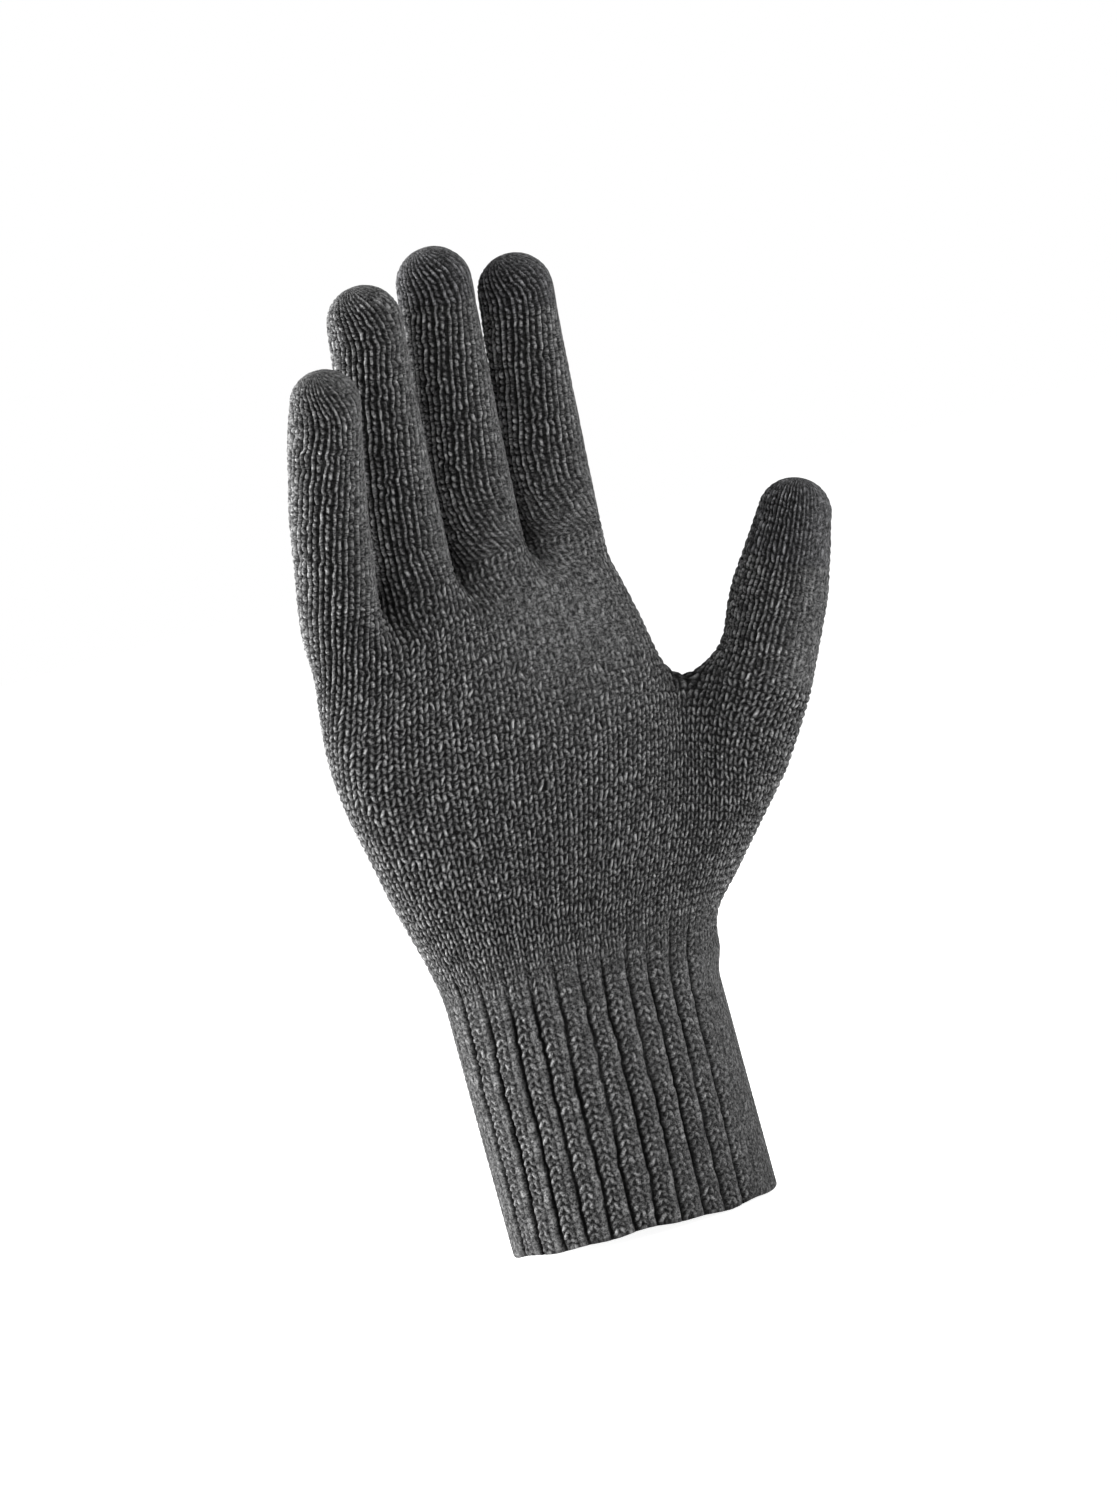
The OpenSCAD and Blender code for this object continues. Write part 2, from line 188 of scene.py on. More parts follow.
# How dark the painted shade is between the fingers and at the thumb's web, and how far from each crotch it
# reaches.
CROTCH_PAINTED_SHADE, CROTCH_SHADE_REACH = 0.7, 6.5
# Ribs drift sideways for each millimetre along the cuff, wander by a share of their width, and are worn soft.
RIB_TWIST, RIB_WANDER, RIB_WORN = 0.007, 0.14, 0.2
# Lengths along a rib over which its wander, wear and grooves change, and the least wear and groove with their
# spans.
WANDER_STEP, WORN_STEP, GROOVE_STEP = 14.0, 7.0, 9.0
WORN_LOW, WORN_SPAN, GROOVE_LOW, GROOVE_SPAN = 0.4, 1.6, 0.6, 1.1
# A groove starts at a share of a rib from its middle, deepens over another, and takes painted shade.
GROOVE_FROM, GROOVE_OVER, GROOVE_PAINTED_SHADE = 0.395, 0.07, 0.88
# Fall of a rib from its middle, the share of a rib over which it falls, and the flat knit's wales in one rib.
CREST_FALL, CREST_HALF, RIB_WALES = 0.3, 0.42, 3
# The rib is drawn flat at both sides of the wrist: how much, at which angle from the palm side, how wide.
SIDE_FLAT, SIDE_AT, SIDE_WIDE = 0.85, 80.0, 24.0
# On the thumb side that is a longer stretch: how much, and the angles at and over which it starts and ends.
THUMB_FLAT, FLAT_FROM, FLAT_RISE, FLAT_TO, FLAT_DROP = 0.9, 42.0, 16.0, 105.0, 25.0
# Distance below the wrist at which the rib starts to fade into the palm's knit, and over what height it does.
FADE_BELOW, FADE_OVER = 6.0, 24.0
# Points of the net in one wale, and how finely each is divided for the relief.
NET_STEP = 2
FINE_ACROSS, FINE_ALONG = 5, 5
# Flecks of the yarn in one wale or course, the spacing of its fibres, and how far they stand out.
YARN_FLECKS, FIBRE_SPACING, FIBRE_RISE = 2.6, 0.6, 0.12
# Points closer than this are one, and edges shorter than this are none, in metres.
WELD, SPECK = 2e-6, 1e-7


def linear(hex_colour):
    """An sRGB hex colour as linear RGBA."""
    parts = [int(hex_colour[k : k + 2], 16) / 255 for k in (1, 3, 5)]
    return tuple(c / 12.92 if c <= 0.04045 else ((c + 0.055) / 1.055) ** 2.4 for c in parts) + (1.0,)


def ease(t):
    """Smooth step from 0 to 1."""
    t = np.clip(t, 0.0, 1.0)
    return t * t * (3 - 2 * t)


def near(distance, reach):
    """Weight that falls from 1 to 0 over a reach."""
    return np.clip(1 - np.abs(distance) / reach, 0, 1) ** 2


def between(at, row, col, up, across):
    """In-between values of a grid's cells, whose corners at(row, col) gives."""
    low, high = ((1 - across) * at(r, col) + across * at(r, col + 1) for r in (row, row + 1))
    return (1 - up) * low + up * high


def unit(v):
    """Vectors of length 1."""
    return v / np.linalg.norm(v, axis=-1, keepdims=True)


def turned(axis, degrees):
    """A turn about an axis as a matrix."""
    return np.array(Matrix.Rotation(math.radians(degrees), 3, axis))


def flare(points):
    """How far points of the wrist are moved out towards the heel of the thumb."""
    out = unit(points[..., :2] / np.array([CUFF_W**2, CUFF_D**2]))
    z = points[..., 2]
    rise = ease((z - FLARE_FROM) / (FLARE_FULL - FLARE_FROM))
    rise = rise * (1 - ease((z - FLARE_FULL) / (FLARE_TO - FLARE_FULL)))
    move = HEEL_FLARE * np.clip(out @ THUMB_WAY, 0, 1) ** 2 * rise
    return np.concatenate([out * move[..., None], np.zeros_like(z)[..., None]], -1)


def curve(a, b, da, db, t):
    """Point of a smooth curve between two ends with their slopes."""
    return (
        a * (2 * t**3 - 3 * t**2 + 1)
        + da * (t**3 - 2 * t**2 + t)
        + b * (3 * t**2 - 2 * t**3)
        + db * (t**3 - t**2)
    )


class Digit:
    """The smooth tube of a finger or the thumb along its sleeves."""

    # The tube goes on below its root for this length.
    before = 30.0
    slope_step = 1e-4
    level_rounds = 4

    def __init__(self, name):
        form = DIGITS[name]
        spans = form["length"]
        folds = ("root", "middle", "tip") if len(spans) == 3 else ("root", "tip")
        points = [np.array(JOINTS[f"{name}_{f}_fold"]["pos_m"]) / MM for f in folds]
        base = turned("Y", form["lean"]) @ turned("Z", form["turn"])
        ways = [base @ turned("X", b) for b in (0,) + tuple(form["bend"])]
        radii = [d / 2 for d in form["dia"]]
        self.side = base[:, 0]
        starts = [p + r * w[:, 1] for p, r, w in zip(points, radii, ways[1:])]
        steps, places = [-self.before, 0.0], [starts[0] - self.before * ways[0][:, 2], starts[0]]
        aims = [ways[0][:, 2], unit(ways[0][:, 2] + ways[1][:, 2])]
        self.folds, u = [], 0.0
        for i, span in enumerate(spans):
            way = ways[i + 1][:, 2]
            last = i == len(spans) - 1
            end = starts[i] + way * span
            self.folds.append(u)
            steps += [u + span / 2, u + span]
            places += [starts[i] + way * span / 2, end if last else (end + starts[i + 1]) / 2]
            aims += [way, way if last else unit(way + ways[i + 2][:, 2])]
            u += span
        self.steps, self.places, self.aims = np.array(steps), np.array(places), np.array(aims)
        self.tip = radii[-1]
        self.end = u
        self.shoulder = u - self.tip
        self.radius_at = ([-self.before] + self.folds + [self.shoulder], [radii[0]] + radii)
        self.hollow = WEB_HOLLOW.get(name, (0.0, 0.0, 1.0))
        self.bow = BOW[name]
        self.gather = THUMB_GATHER if name == "thumb" else FINGER_GATHER

    def frame(self, u):
        """Centre, direction and back of the tube at distance u from the root."""
        u = np.asarray(u, float)
        k = np.clip(np.searchsorted(self.steps, u, "right") - 1, 0, len(self.steps) - 2)
        span = (self.steps[k + 1] - self.steps[k])[..., None]
        t = (u - self.steps[k])[..., None] / span
        ends = (self.places[k], self.places[k + 1], self.aims[k] * span, self.aims[k + 1] * span)
        way = unit(curve(*ends, t + self.slope_step) - curve(*ends, t - self.slope_step))
        along = np.clip(u / self.end, 0, 1)[..., None]
        bow = self.bow[0] * 4 * along * (1 - along) + self.bow[1] * along**2
        return curve(*ends, t) + bow * self.side, way, unit(np.cross(way, self.side))

    def spoke(self, angle, back):
        """Outward direction at an angle from the palm side."""
        return np.sin(angle)[..., None] * self.side - np.cos(angle)[..., None] * back

    def place(self, angle, u):
        """Point of the surface at an angle from the palm side and a distance from the root."""
        angle, u = np.broadcast_arrays(np.asarray(angle, float), np.asarray(u, float))
        centre, _, back = self.frame(u)
        depth, middle, reach = self.hollow
        facing = np.clip(-np.sin(angle), 0, 1) ** HOLLOW_NARROW
        radius = np.interp(u, *self.radius_at) - depth * np.exp(-(((u - middle) / reach) ** 2)) * facing
        return centre + radius[..., None] * self.spoke(angle, back)

    def level(self, angle, z):
        """Distance along the tube at which its surface crosses a height."""
        u = np.zeros(np.shape(angle))
        for _ in range(self.level_rounds):
            u = u + (z - self.place(angle, u)[..., 2]) / self.frame(u)[1][..., 2]
        return u

    def dome(self, angle, share):
        """The closed end, from the shoulder to the point where its wales gather."""
        centre, way, back = self.frame(np.array(self.shoulder))
        tilt, turn = (math.radians(v) for v in self.gather)
        start = self.spoke(angle, back)
        aside = back * math.sin(turn) - self.side * math.cos(turn)
        pole = unit(way * math.cos(tilt) + aside * math.sin(tilt))
        apart = np.arccos(np.clip(start @ pole, -1, 1))[:, None]
        mix = (np.sin((1 - share) * apart) * start + np.sin(share * apart) * pole) / np.sin(apart)
        return centre + self.tip * mix


def station(values, z):
    """Smooth curve through the palm's stations, at a height above the wrist."""
    slopes = np.zeros(4)
    slopes[1:3] = (values[2:] - values[:2]) / (STATION_Z[2:] - STATION_Z[:2])
    slopes[3] = (values[3] - values[2]) / (STATION_Z[3] - STATION_Z[2])
    k = min(max(int(np.searchsorted(STATION_Z, z, "right")) - 1, 0), 2)
    h = STATION_Z[k + 1] - STATION_Z[k]
    return curve(values[k], values[k + 1], slopes[k] * h, slopes[k + 1] * h, (z - STATION_Z[k]) / h)


def evenly(points, count):
    """Points at even distances along a closed line of points."""
    run = np.concatenate([[0], np.cumsum(np.linalg.norm(np.diff(points, axis=0), axis=1))])
    at = np.linspace(0, run[-1], count)
    return np.stack([np.interp(at, run, points[:, k]) for k in range(points.shape[1])], 1)


class PalmForm:
    """The palm's surface by share of its girth, from the little-finger edge over the palm side."""

    levels, shares = 67, 529
    outline_points = 721

    def __init__(self):
        self.top = STATION_Z[-1]
        angle = np.radians(np.linspace(180, 540, self.outline_points))
        rings = []
        for z in np.linspace(0, self.top, self.levels):
            left, right = station(REACH_LITTLE, z), station(REACH_THUMB, z)
            power = 2 / (2 + (PALM_SQUARE - 2) * z / self.top)
            across, deep = (np.sign(w) * np.abs(w) ** power for w in (np.cos(angle), np.sin(angle)))
            x = (right - left) / 2 + (left + right) / 2 * across
            y = station(PALM_DEPTH, z) / 2 * deep
            arch = ARCH_TOP - PALM_ARCH * ((INDEX_X - x) / (INDEX_X - LITTLE_X)) ** 2
            rings.append(evenly(np.stack([x, y + arch * z / self.top], 1), self.shares))
        self.rings = np.array(rings)

    def place(self, share, z):
        """Point of the surface at a share of the girth and a height."""
        share, z = np.broadcast_arrays(np.asarray(share, float) % 1, np.asarray(z, float))
        row = np.clip((z - CUFF_H) / self.top, 0, 1) * (self.levels - 1)
        col = share * (self.shares - 1)
        r0 = np.minimum(row.astype(int), self.levels - 2)
        c0 = np.minimum(col.astype(int), self.shares - 2)
        fr, fc = (row - r0)[..., None], (col - c0)[..., None]
        flat = between(lambda r, c: self.rings[r, c], r0, c0, fr, fc)
        return np.concatenate([flat, z[..., None]], -1)


class Net:
    """The glove's skin as a net of wales and courses that all the tubes share at their crotches."""

    # Points and courses over which the knit is drawn to a crotch or to the thumb's web.
    crotch_reach, web_reach, fade_rows = 5, 8, 6
    # Distance of the thumb's first ring from its root, and height over which the palm turns into the fingers.
    thumb_start, root_rise = 1.5, 13.0
    # Share of its girth with which the ball of the thumb starts, and share of the height where it widens.
    ball_start, ball_from = 0.5, 0.35
    # Shares of the height over which the ball leaves the palm: on its crest, and what its edges add to that.
    crest_rise, edge_rise = 0.18, 0.3
    # How much the valleys beside the thumb and its web are eased, how far out, and how often.
    valley_give, valley_reach = 0.5, 14.0
    web_give, web_radius = 0.2, 10.0
    ease_rounds = 120

    def __init__(self):
        self.points = np.zeros((0, 3))
        self.palm = PalmForm()
        self.digits = {name: Digit(name) for name in DIGITS}
        self.tubes = {}
        self.join_fingers()
        self.lay_lower()
        self.lay_upper()
        for name in FINGERS:
            root = (self.starts[name], self.pulls[name], self.ring_ids[name])
            self.lay_tube(name, self.angles, *root, FINGER_COURSE)
        self.lay_thumb()
        self.relax()
        self.find_normals()
        crotches = [self.ring_ids[name][NET_STEP * FRONT_WALES + 1] for name in FINGERS[:-1]]
        self.crotches = self.points[crotches + [self.saddle]]

    def add(self, points):
        """Adds points and gives their numbers."""
        points = np.asarray(points, float)
        ids = len(self.points) + np.arange(points[..., 0].size).reshape(points.shape[:-1])
        self.points = np.concatenate([self.points, points.reshape(-1, 3)])
        return ids

    def join_fingers(self):
        """Rings at the finger roots, drawn together at each crotch."""
        half = NET_STEP * FRONT_WALES
        count = NET_STEP * FINGER_WALES
        step = 360 / count
        self.angles = np.radians(-step * half / 2 + step * np.arange(count + 1))
        corner = [0, half, half + 2, 2 * half + 2, count]
        self.rings, self.pulls, self.starts = {}, {}, {}
        for k, name in enumerate(FINGERS):
            low, high = CROTCH_Z[k], CROTCH_Z[k + 1]
            z = np.interp(np.arange(count + 1), corner, [low, high, high, low, low])
            self.starts[name] = self.digits[name].level(self.angles, z)
            self.rings[name] = self.digits[name].place(self.angles, self.starts[name])
            self.pulls[name] = np.zeros((count + 1, 3))
        reach = self.crotch_reach
        for left, right in zip(FINGERS, FINGERS[1:]):
            a, b = self.rings[left], self.rings[right]
            front = (a[half] + b[0]) / 2
            back = (a[half + 2] + b[2 * half + 2]) / 2
            middle = (front + back) / 2
            for q in range(reach):
                weight = (1 - q / reach) ** 2
                self.pulls[left][half - q] += weight * (front - a[half])
                self.pulls[left][half + 2 + q] += weight * (back - a[half + 2])
                self.pulls[right][q] += weight * (front - b[0])
                self.pulls[right][2 * half + 2 - q] += weight * (back - b[2 * half + 2])
            self.pulls[left][half + 1] = middle - a[half + 1]
            self.pulls[right][2 * half + 3] = middle - b[2 * half + 3]
        self.ring_ids, made = {}, {}
        for name in FINGERS:
            self.pulls[name][-1] = self.pulls[name][0]
            ids = np.zeros(count + 1, int)
            for j, point in enumerate(self.rings[name][:-1] + self.pulls[name][:-1]):
                key = tuple(np.round(point, 4))
                if key not in made:
                    made[key] = int(self.add(point[None])[0])
                ids[j] = made[key]
            ids[-1] = ids[0]
            self.ring_ids[name] = ids

    def lay_lower(self):
        """From the wrist to the thumb's web: the palm's wales and the thumb's fan out."""
        self.front = front = NET_STEP * 4 * FRONT_WALES
        self.ball = ball = NET_STEP * (THUMB_WALES - 1)
        col = np.arange(NET_STEP * WRIST_WALES)
        is_ball = (col > front) & (col < front + ball)
        wrist_share = (0.5 + col / NET_STEP) / WRIST_WALES
        palm_col = np.where(col <= front, col, col - ball + NET_STEP)
        palm_share = (0.5 + palm_col / NET_STEP) / PALM_WALES
        thumb = self.digits["thumb"]
        pitch = 360 / (NET_STEP * THUMB_WALES)
        turns = np.arange(NET_STEP * THUMB_WALES + 1) - NET_STEP * THUMB_FRONT / 2
        self.thumb_angles = np.radians(pitch * turns)
        root, root_way, _ = thumb.frame(np.array(self.thumb_start))
        rows = []
        for v in np.linspace(0, 1, LOWER_COURSES + 1):
            z = CUFF_H + v * (WEB_Z - CUFF_H)
            on_palm = self.palm.place(wrist_share + (palm_share - wrist_share) * ease(v), z)
            centre = THUMB_HEEL + v * (root - THUMB_HEEL)
            axis = unit((1 - v) * unit(root - THUMB_HEEL) + v * root_way)
            # The courses lie level at the wrist and lean into the thumb.
            way = unit((1 - ease(v)) * np.array([0, 0, 1.0]) + ease(v) * axis)
            side = unit((1 - v) * np.array([1.0, 0, 0]) + v * thumb.side)
            side = unit(side - (side @ way) * way)
            back = np.cross(way, side)
            widened = ease((v - self.ball_from) / (1 - self.ball_from))
            shrink = self.ball_start + (1 - self.ball_start) * widened
            angle = np.pi / 2 + (self.thumb_angles[: ball + 1] - np.pi / 2) * shrink
            spokes = np.sin(angle)[:, None] * side - np.cos(angle)[:, None] * back
            from_axis = np.linalg.norm(spokes - (spokes @ axis)[:, None] * axis, axis=1)[:, None]
            tube = centre + np.interp(v, BALL_SHARES, BALL_RADII) * spokes / from_axis
            base = self.palm.place(wrist_share[front : front + ball + 1], z)
            edges = np.abs(angle - np.pi / 2)[:, None] / np.pi * 2
            rise = self.crest_rise + self.edge_rise * np.minimum(edges, 1)
            lobe = base + (tube - base) * ease(v / rise)
            row = on_palm.copy()
            row[is_ball] = lobe[1:-1]
            for edge, step, mine in ((front, 1, lobe[0]), (front + ball, -1, lobe[-1])):
                line = (on_palm[edge] + mine) / 2
                if v == 1:
                    line[2] = WEB_Z
                for q in range(self.web_reach):
                    weight = (1 - q / self.web_reach) ** 2
                    if q:
                        row[edge + step * q] += weight * (line - mine)
                    row[edge - step * q] += weight * (line - on_palm[edge])
            rows.append(row + flare(row))
        self.web_pull = (
            rows[-1][front] - self.palm.place(palm_share[front], WEB_Z),
            rows[-1][front + ball] - self.palm.place(palm_share[front + ball], WEB_Z),
        )
        ids = self.add(np.array(rows))
        self.lower = np.concatenate([ids, ids[:, :1]], 1)
        middle = (self.points[ids[-1, front]] + self.points[ids[-1, front + ball]]) / 2
        self.saddle = int(self.add(middle[None])[0])

    def lay_upper(self):
        """From the thumb's web to the crotches of the fingers."""
        front, ball = self.front, self.ball
        col = np.arange(NET_STEP * PALM_WALES)
        share = (0.5 + col / NET_STEP) / PALM_WALES
        half = NET_STEP * FRONT_WALES
        # Each column belongs to one spoke of the finger above it.
        k = np.minimum(col // half, 3)
        back_k = np.clip((col - front - 2) // half, 0, 3)
        owner = np.where(col <= front + 1, k, 3 - back_k)
        spoke = np.where(col <= front + 1, col - half * k, half + col - front - half * back_k)
        top = np.array([self.ring_ids[FINGERS[o]][s] for o, s in zip(owner, spoke)])
        below = self.lower[-1]
        bottom = np.concatenate([below[: front + 1], [self.saddle], below[front + ball : -1]])
        z0, z1 = self.points[bottom, 2], self.points[top, 2]
        pulls = np.zeros((len(col), 3))
        for edge, step, pull in ((front, -1, self.web_pull[0]), (front + 2, 1, self.web_pull[1])):
            for q in range(self.web_reach):
                pulls[edge + step * q] += (1 - q / self.web_reach) ** 2 * pull
        pulls[front + 1] = (self.web_pull[0] + self.web_pull[1]) / 2
        rows = [bottom]
        for m in range(1, UPPER_COURSES):
            z = z0 + (z1 - z0) * m / UPPER_COURSES
            flat = self.palm.place(share, z)
            flat += near(m, self.fade_rows) * pulls
            tube = np.zeros_like(flat)
            for f, name in enumerate(FINGERS):
                mine = owner == f
                angle = self.angles[spoke[mine]]
                digit = self.digits[name]
                tube[mine] = digit.place(angle, digit.level(angle, z[mine])) + self.pulls[name][spoke[mine]]
            weight = ease((z - z1 + self.root_rise) / self.root_rise)[:, None]
            rows.append(self.add(flat + (tube - flat) * weight))
        rows.append(top)
        ids = np.array(rows)
        self.upper = np.concatenate([ids, ids[:, :1]], 1)

    def lay_tube(self, name, angles, starts, pulls, first, course):
        """Courses of one tube from its root ring to its pole."""
        digit = self.digits[name]
        mean = starts[:-1].mean()
        body = int(round((digit.shoulder - mean) / course))
        cap = max(5, int(round(digit.tip * math.pi / 2 / course)))
        heights = np.linspace(mean, digit.shoulder, body + 1)
        rows = [first]
        for m in range(1, body + 1):
            u = heights[m] + (starts - mean) * near(m, self.fade_rows + 2)
            ring = digit.place(angles, u) + pulls * near(m, self.fade_rows)
            ids = self.add(ring[:-1])
            rows.append(np.append(ids, ids[0]))
        for m in range(1, cap):
            ids = self.add(digit.dome(angles[:-1], m / cap))
            rows.append(np.append(ids, ids[0]))
        pole = int(self.add(digit.dome(angles[:1], 1.0))[0])
        rows.append(np.full(len(angles), pole))
        heights = np.append(heights, digit.shoulder + digit.tip * np.arange(1, cap + 1) / cap)
        self.tubes[name] = (np.array(rows), heights)

    def lay_thumb(self):
        """The thumb's tube, from the ball and the web."""
        front, ball = self.front, self.ball
        last = self.lower[-1]
        first = np.concatenate([last[front : front + ball + 1], [self.saddle], last[front : front + 1]])
        starts = np.full(len(first), self.thumb_start)
        ring = self.digits["thumb"].place(self.thumb_angles, starts)
        self.lay_tube("thumb", self.thumb_angles, starts, self.points[first] - ring, first, THUMB_COURSE)

    def grids(self):
        """All stretches of the net."""
        return [self.lower, self.upper] + [ids for ids, _ in self.tubes.values()]

    def relax(self):
        """Eases the valley beside the thumb and the web, and leaves the rest where it is."""
        pairs = []
        for ids in self.grids():
            pairs.append(np.stack([ids[:, :-1].ravel(), ids[:, 1:].ravel()], 1))
            pairs.append(np.stack([ids[:-1].ravel(), ids[1:].ravel()], 1))
        pairs = np.concatenate(pairs)
        pairs = np.unique(np.sort(pairs[pairs[:, 0] != pairs[:, 1]], 1), axis=0)
        degree = np.bincount(pairs.ravel(), minlength=len(self.points))[:, None]
        give = np.zeros(len(self.points))
        col = np.arange(self.lower.shape[1])
        for edge in (self.front, self.front + self.ball):
            valley = self.valley_give * np.exp(-(((col - edge) / self.valley_reach) ** 2))
            give[self.lower[1:]] = np.maximum(give[self.lower[1:]], valley)
        away = np.linalg.norm(self.points - self.points[self.saddle], axis=1)
        give = np.maximum(give, self.web_give * np.exp(-((away / self.web_radius) ** 2)))
        give[self.lower[0]] = 0
        for _ in range(self.ease_rounds):
            total = np.zeros_like(self.points)
            np.add.at(total, pairs[:, 0], self.points[pairs[:, 1]])
            np.add.at(total, pairs[:, 1], self.points[pairs[:, 0]])
            self.points += give[:, None] * (total / degree - self.points)

    def painted_shade_between_digits(self, points):
        """Painted shade on the knit: it darkens deep between the fingers and at the thumb's web."""
        away = np.linalg.norm(points[..., None, :] - self.crotches, axis=-1).min(-1)
        return 1 - CROTCH_PAINTED_SHADE * np.exp(-((away / CROTCH_SHADE_REACH) ** 2))

    def find_normals(self):
        """Outward directions at all points, from the cells that meet there."""
        self.normals = np.zeros_like(self.points)
        p = self.points
        for ids in self.grids():
            a, b, c, d = ids[:-1, :-1], ids[:-1, 1:], ids[1:, 1:], ids[1:, :-1]
            face = np.cross(p[c] - p[a], p[d] - p[b]).reshape(-1, 3)
            for corner in (a, b, c, d):
                np.add.at(self.normals, corner.ravel(), face)
        self.normals = unit(self.normals)


def divide(values, parts, closed):
    """Smooth in-between rows along the first axis; a closed run ends with its first row again."""
    if closed:
        run = np.concatenate([values[-2:-1], values, values[1:2]])
    else:
        run = np.concatenate([2 * values[:1] - values[1:2], values, 2 * values[-1:] - values[-2:-1]])
    n = len(values) - 1
    a, b = run[1 : n + 1], run[2 : n + 2]
    out = [curve(a, b, (b - run[:n]) / 2, (run[3:] - a) / 2, k / parts) for k in range(parts)]
    fine = np.stack(out, 1).reshape((n * parts,) + values.shape[1:])
    return np.concatenate([fine, values[-1:]])


def chance(across, along):
    """The random chances of each stitch or fleck."""
    return CHANCE[np.floor(across).astype(int) % CHANCES, np.floor(along).astype(int) % CHANCES]


def stitch(legs, wale, course):
    """Height of the yarn, from 0 in the gaps to 1, and the tone of its fibres."""
    a, b = wale % 1.0, course % 1.0
    own = chance(wale, course)
    face, tone = np.zeros_like(a), np.zeros_like(a)
    for k, (foot, head, half, gap, high) in enumerate(legs):
        across = (a - foot - (head - foot) * b) / half
        body = high * np.sqrt(np.clip(1 - across**2, 0, 1)) * (1 - gap * np.abs(2 * b - 1) ** LEG_SQUARE)
        tone = np.where(body > face, own[..., k], tone)
        face = np.maximum(face, body)
    return face, TONE_LOW + (TONE_HIGH - TONE_LOW) * tone


def twist(course):
    """Wales by which the palm's knit has drifted sideways at a course."""
    up = np.clip(course - TWIST_FROM, 0, None)
    return PALM_TWIST * np.where(up < TWIST_OVER, up**2 / (2 * TWIST_OVER), up - TWIST_OVER / 2)


def knit(wale, course, opened, calm):
    """Height and shade of the plain knit, opened to the fingers' stitch and drawn flat where it is calm."""
    pairs = zip(STITCH["plain"], STITCH["open"])
    legs = [[(1 - opened) * p + opened * q for p, q in zip(*pair)] for pair in pairs]
    face, tone = stitch(legs, wale, course)
    # The yarn takes painted shade as it sinks towards the gaps between stitches; the legs' random tone is the
    # fibres' own.
    shade = GAP_PAINTED_SHADE + (1 - GAP_PAINTED_SHADE) * face**PAINTED_SHADE_FALL * tone
    return face + (FLAT_HEIGHT - face) * calm, shade + (fuzz(wale, course) - shade) * calm


def fuzz(wale, course):
    """Shade of knit drawn flat, where the fibres hide the stitches."""
    own = chance(FLECKS_ACROSS * wale, FLECKS_ALONG * course)[..., 2]
    return FLAT_SHADE * (FLECK_LOW + FLECK_SPAN * own)


def drawn(points):
    """How smooth the knit is drawn below the index and middle fingers."""
    aside, above = (points[..., 0] - DRAWN_X) / DRAWN_WIDE, (points[..., 2] - DRAWN_Z) / DRAWN_HIGH
    return DRAWN * np.exp(-(aside**2) - above**2)


def opening(rows, points):
    """How far the palm's stitch has opened into a finger's; on the little-finger side it starts lower."""
    edge = np.exp(-(((points[..., 0] - EDGE_X) / EDGE_REACH) ** 2))
    return ease((rows + OPEN_BELOW + EDGE_BELOW * edge) / (OPEN_OVER + EDGE_OVER * edge))


def patchy(rib, step, layer):
    """Slow random change from rib to rib and from step to step along them."""
    r0, s0 = np.floor(rib).astype(int), np.floor(step).astype(int)
    return between(lambda r, s: CHANCE[r % RIBS, s % CHANCES, layer], r0, s0, ease(rib - r0), ease(step - s0))


def rib_form(phase, course, z, out, sizes):
    """How far the rib knit lies below its crests, and its shade; it is drawn flat at the wrist's sides."""
    phase, z = np.broadcast_arrays(phase, z)
    out = unit(out[..., :2])
    aside = np.degrees(np.arccos(np.clip(out @ FACING, -1, 1)))
    flat = SIDE_FLAT * np.exp(-(((aside - SIDE_AT) / SIDE_WIDE) ** 2))
    thumb_side = THUMB_FLAT * ease((aside - FLAT_FROM) / FLAT_RISE)
    thumb_side = thumb_side * (1 - ease((aside - FLAT_TO) / FLAT_DROP))
    flat = np.where(out @ THUMB_WAY > 0, np.maximum(flat, thumb_side), flat)
    worn = RIB_WORN * (WORN_LOW + WORN_SPAN * patchy(phase, z / WORN_STEP, 1))
    worn = 1 - (1 - flat) * (1 - worn)
    # The ribs wander a little, and their grooves are deeper in some places than in others.
    phase = phase + RIB_WANDER * (patchy(phase, z / WANDER_STEP, 2) - CHANCE_MEAN)
    middle = np.abs(phase % 1.0 - 0.5)
    deep = np.minimum(1, GROOVE_LOW + GROOVE_SPAN * patchy(phase, z / GROOVE_STEP, 0))
    groove = ease((middle - GROOVE_FROM) / GROOVE_OVER) * deep
    face, tone = stitch(STITCH["rib"], phase, course)
    sink = (1 - face) * (1 - groove) * (1 - worn) * sizes.rib_relief / MM
    fall = CREST_FALL * np.minimum(1, middle / CREST_HALF) ** 2
    sink = sink + (groove * sizes.rib_groove / MM + fall) * (1 - flat)
    # The rib's yarn takes painted shade as it sinks towards its gaps.
    shade = RIB_GAP_PAINTED_SHADE + (1 - RIB_GAP_PAINTED_SHADE) * face * tone
    shade = shade + (fuzz(RIB_WALES * phase, course) - shade) * worn
    # Painted shade darkens the grooves, except where the rib is drawn flat.
    return sink, RIB_SHADE * shade * (1 - GROOVE_PAINTED_SHADE * groove * (1 - flat))


def rib_share(z):
    """How much of the rib's pattern is left at a height, fading across the wrist."""
    return 1 - ease((z - CUFF_H + FADE_BELOW) / FADE_OVER)


def uneven(shape, per_wale, seed, closed):
    """Slow random change from stitch to stitch, as yarn and machine give it."""
    rows, cols = shape
    draw = np.random.RandomState(seed)
    wales = cols // per_wale
    knots = draw.normal(0, 1, (rows // FINE_ALONG + 2, wales + 2))
    if closed:
        knots[:, wales:] = knots[:, :2]
    r, c = np.arange(rows) / FINE_ALONG, np.arange(cols) / per_wale
    r0, c0 = r.astype(int), c.astype(int)
    return between(lambda i, j: knots[np.ix_(i, j)], r0, c0, ease(r - r0)[:, None], ease(c - c0)[None])


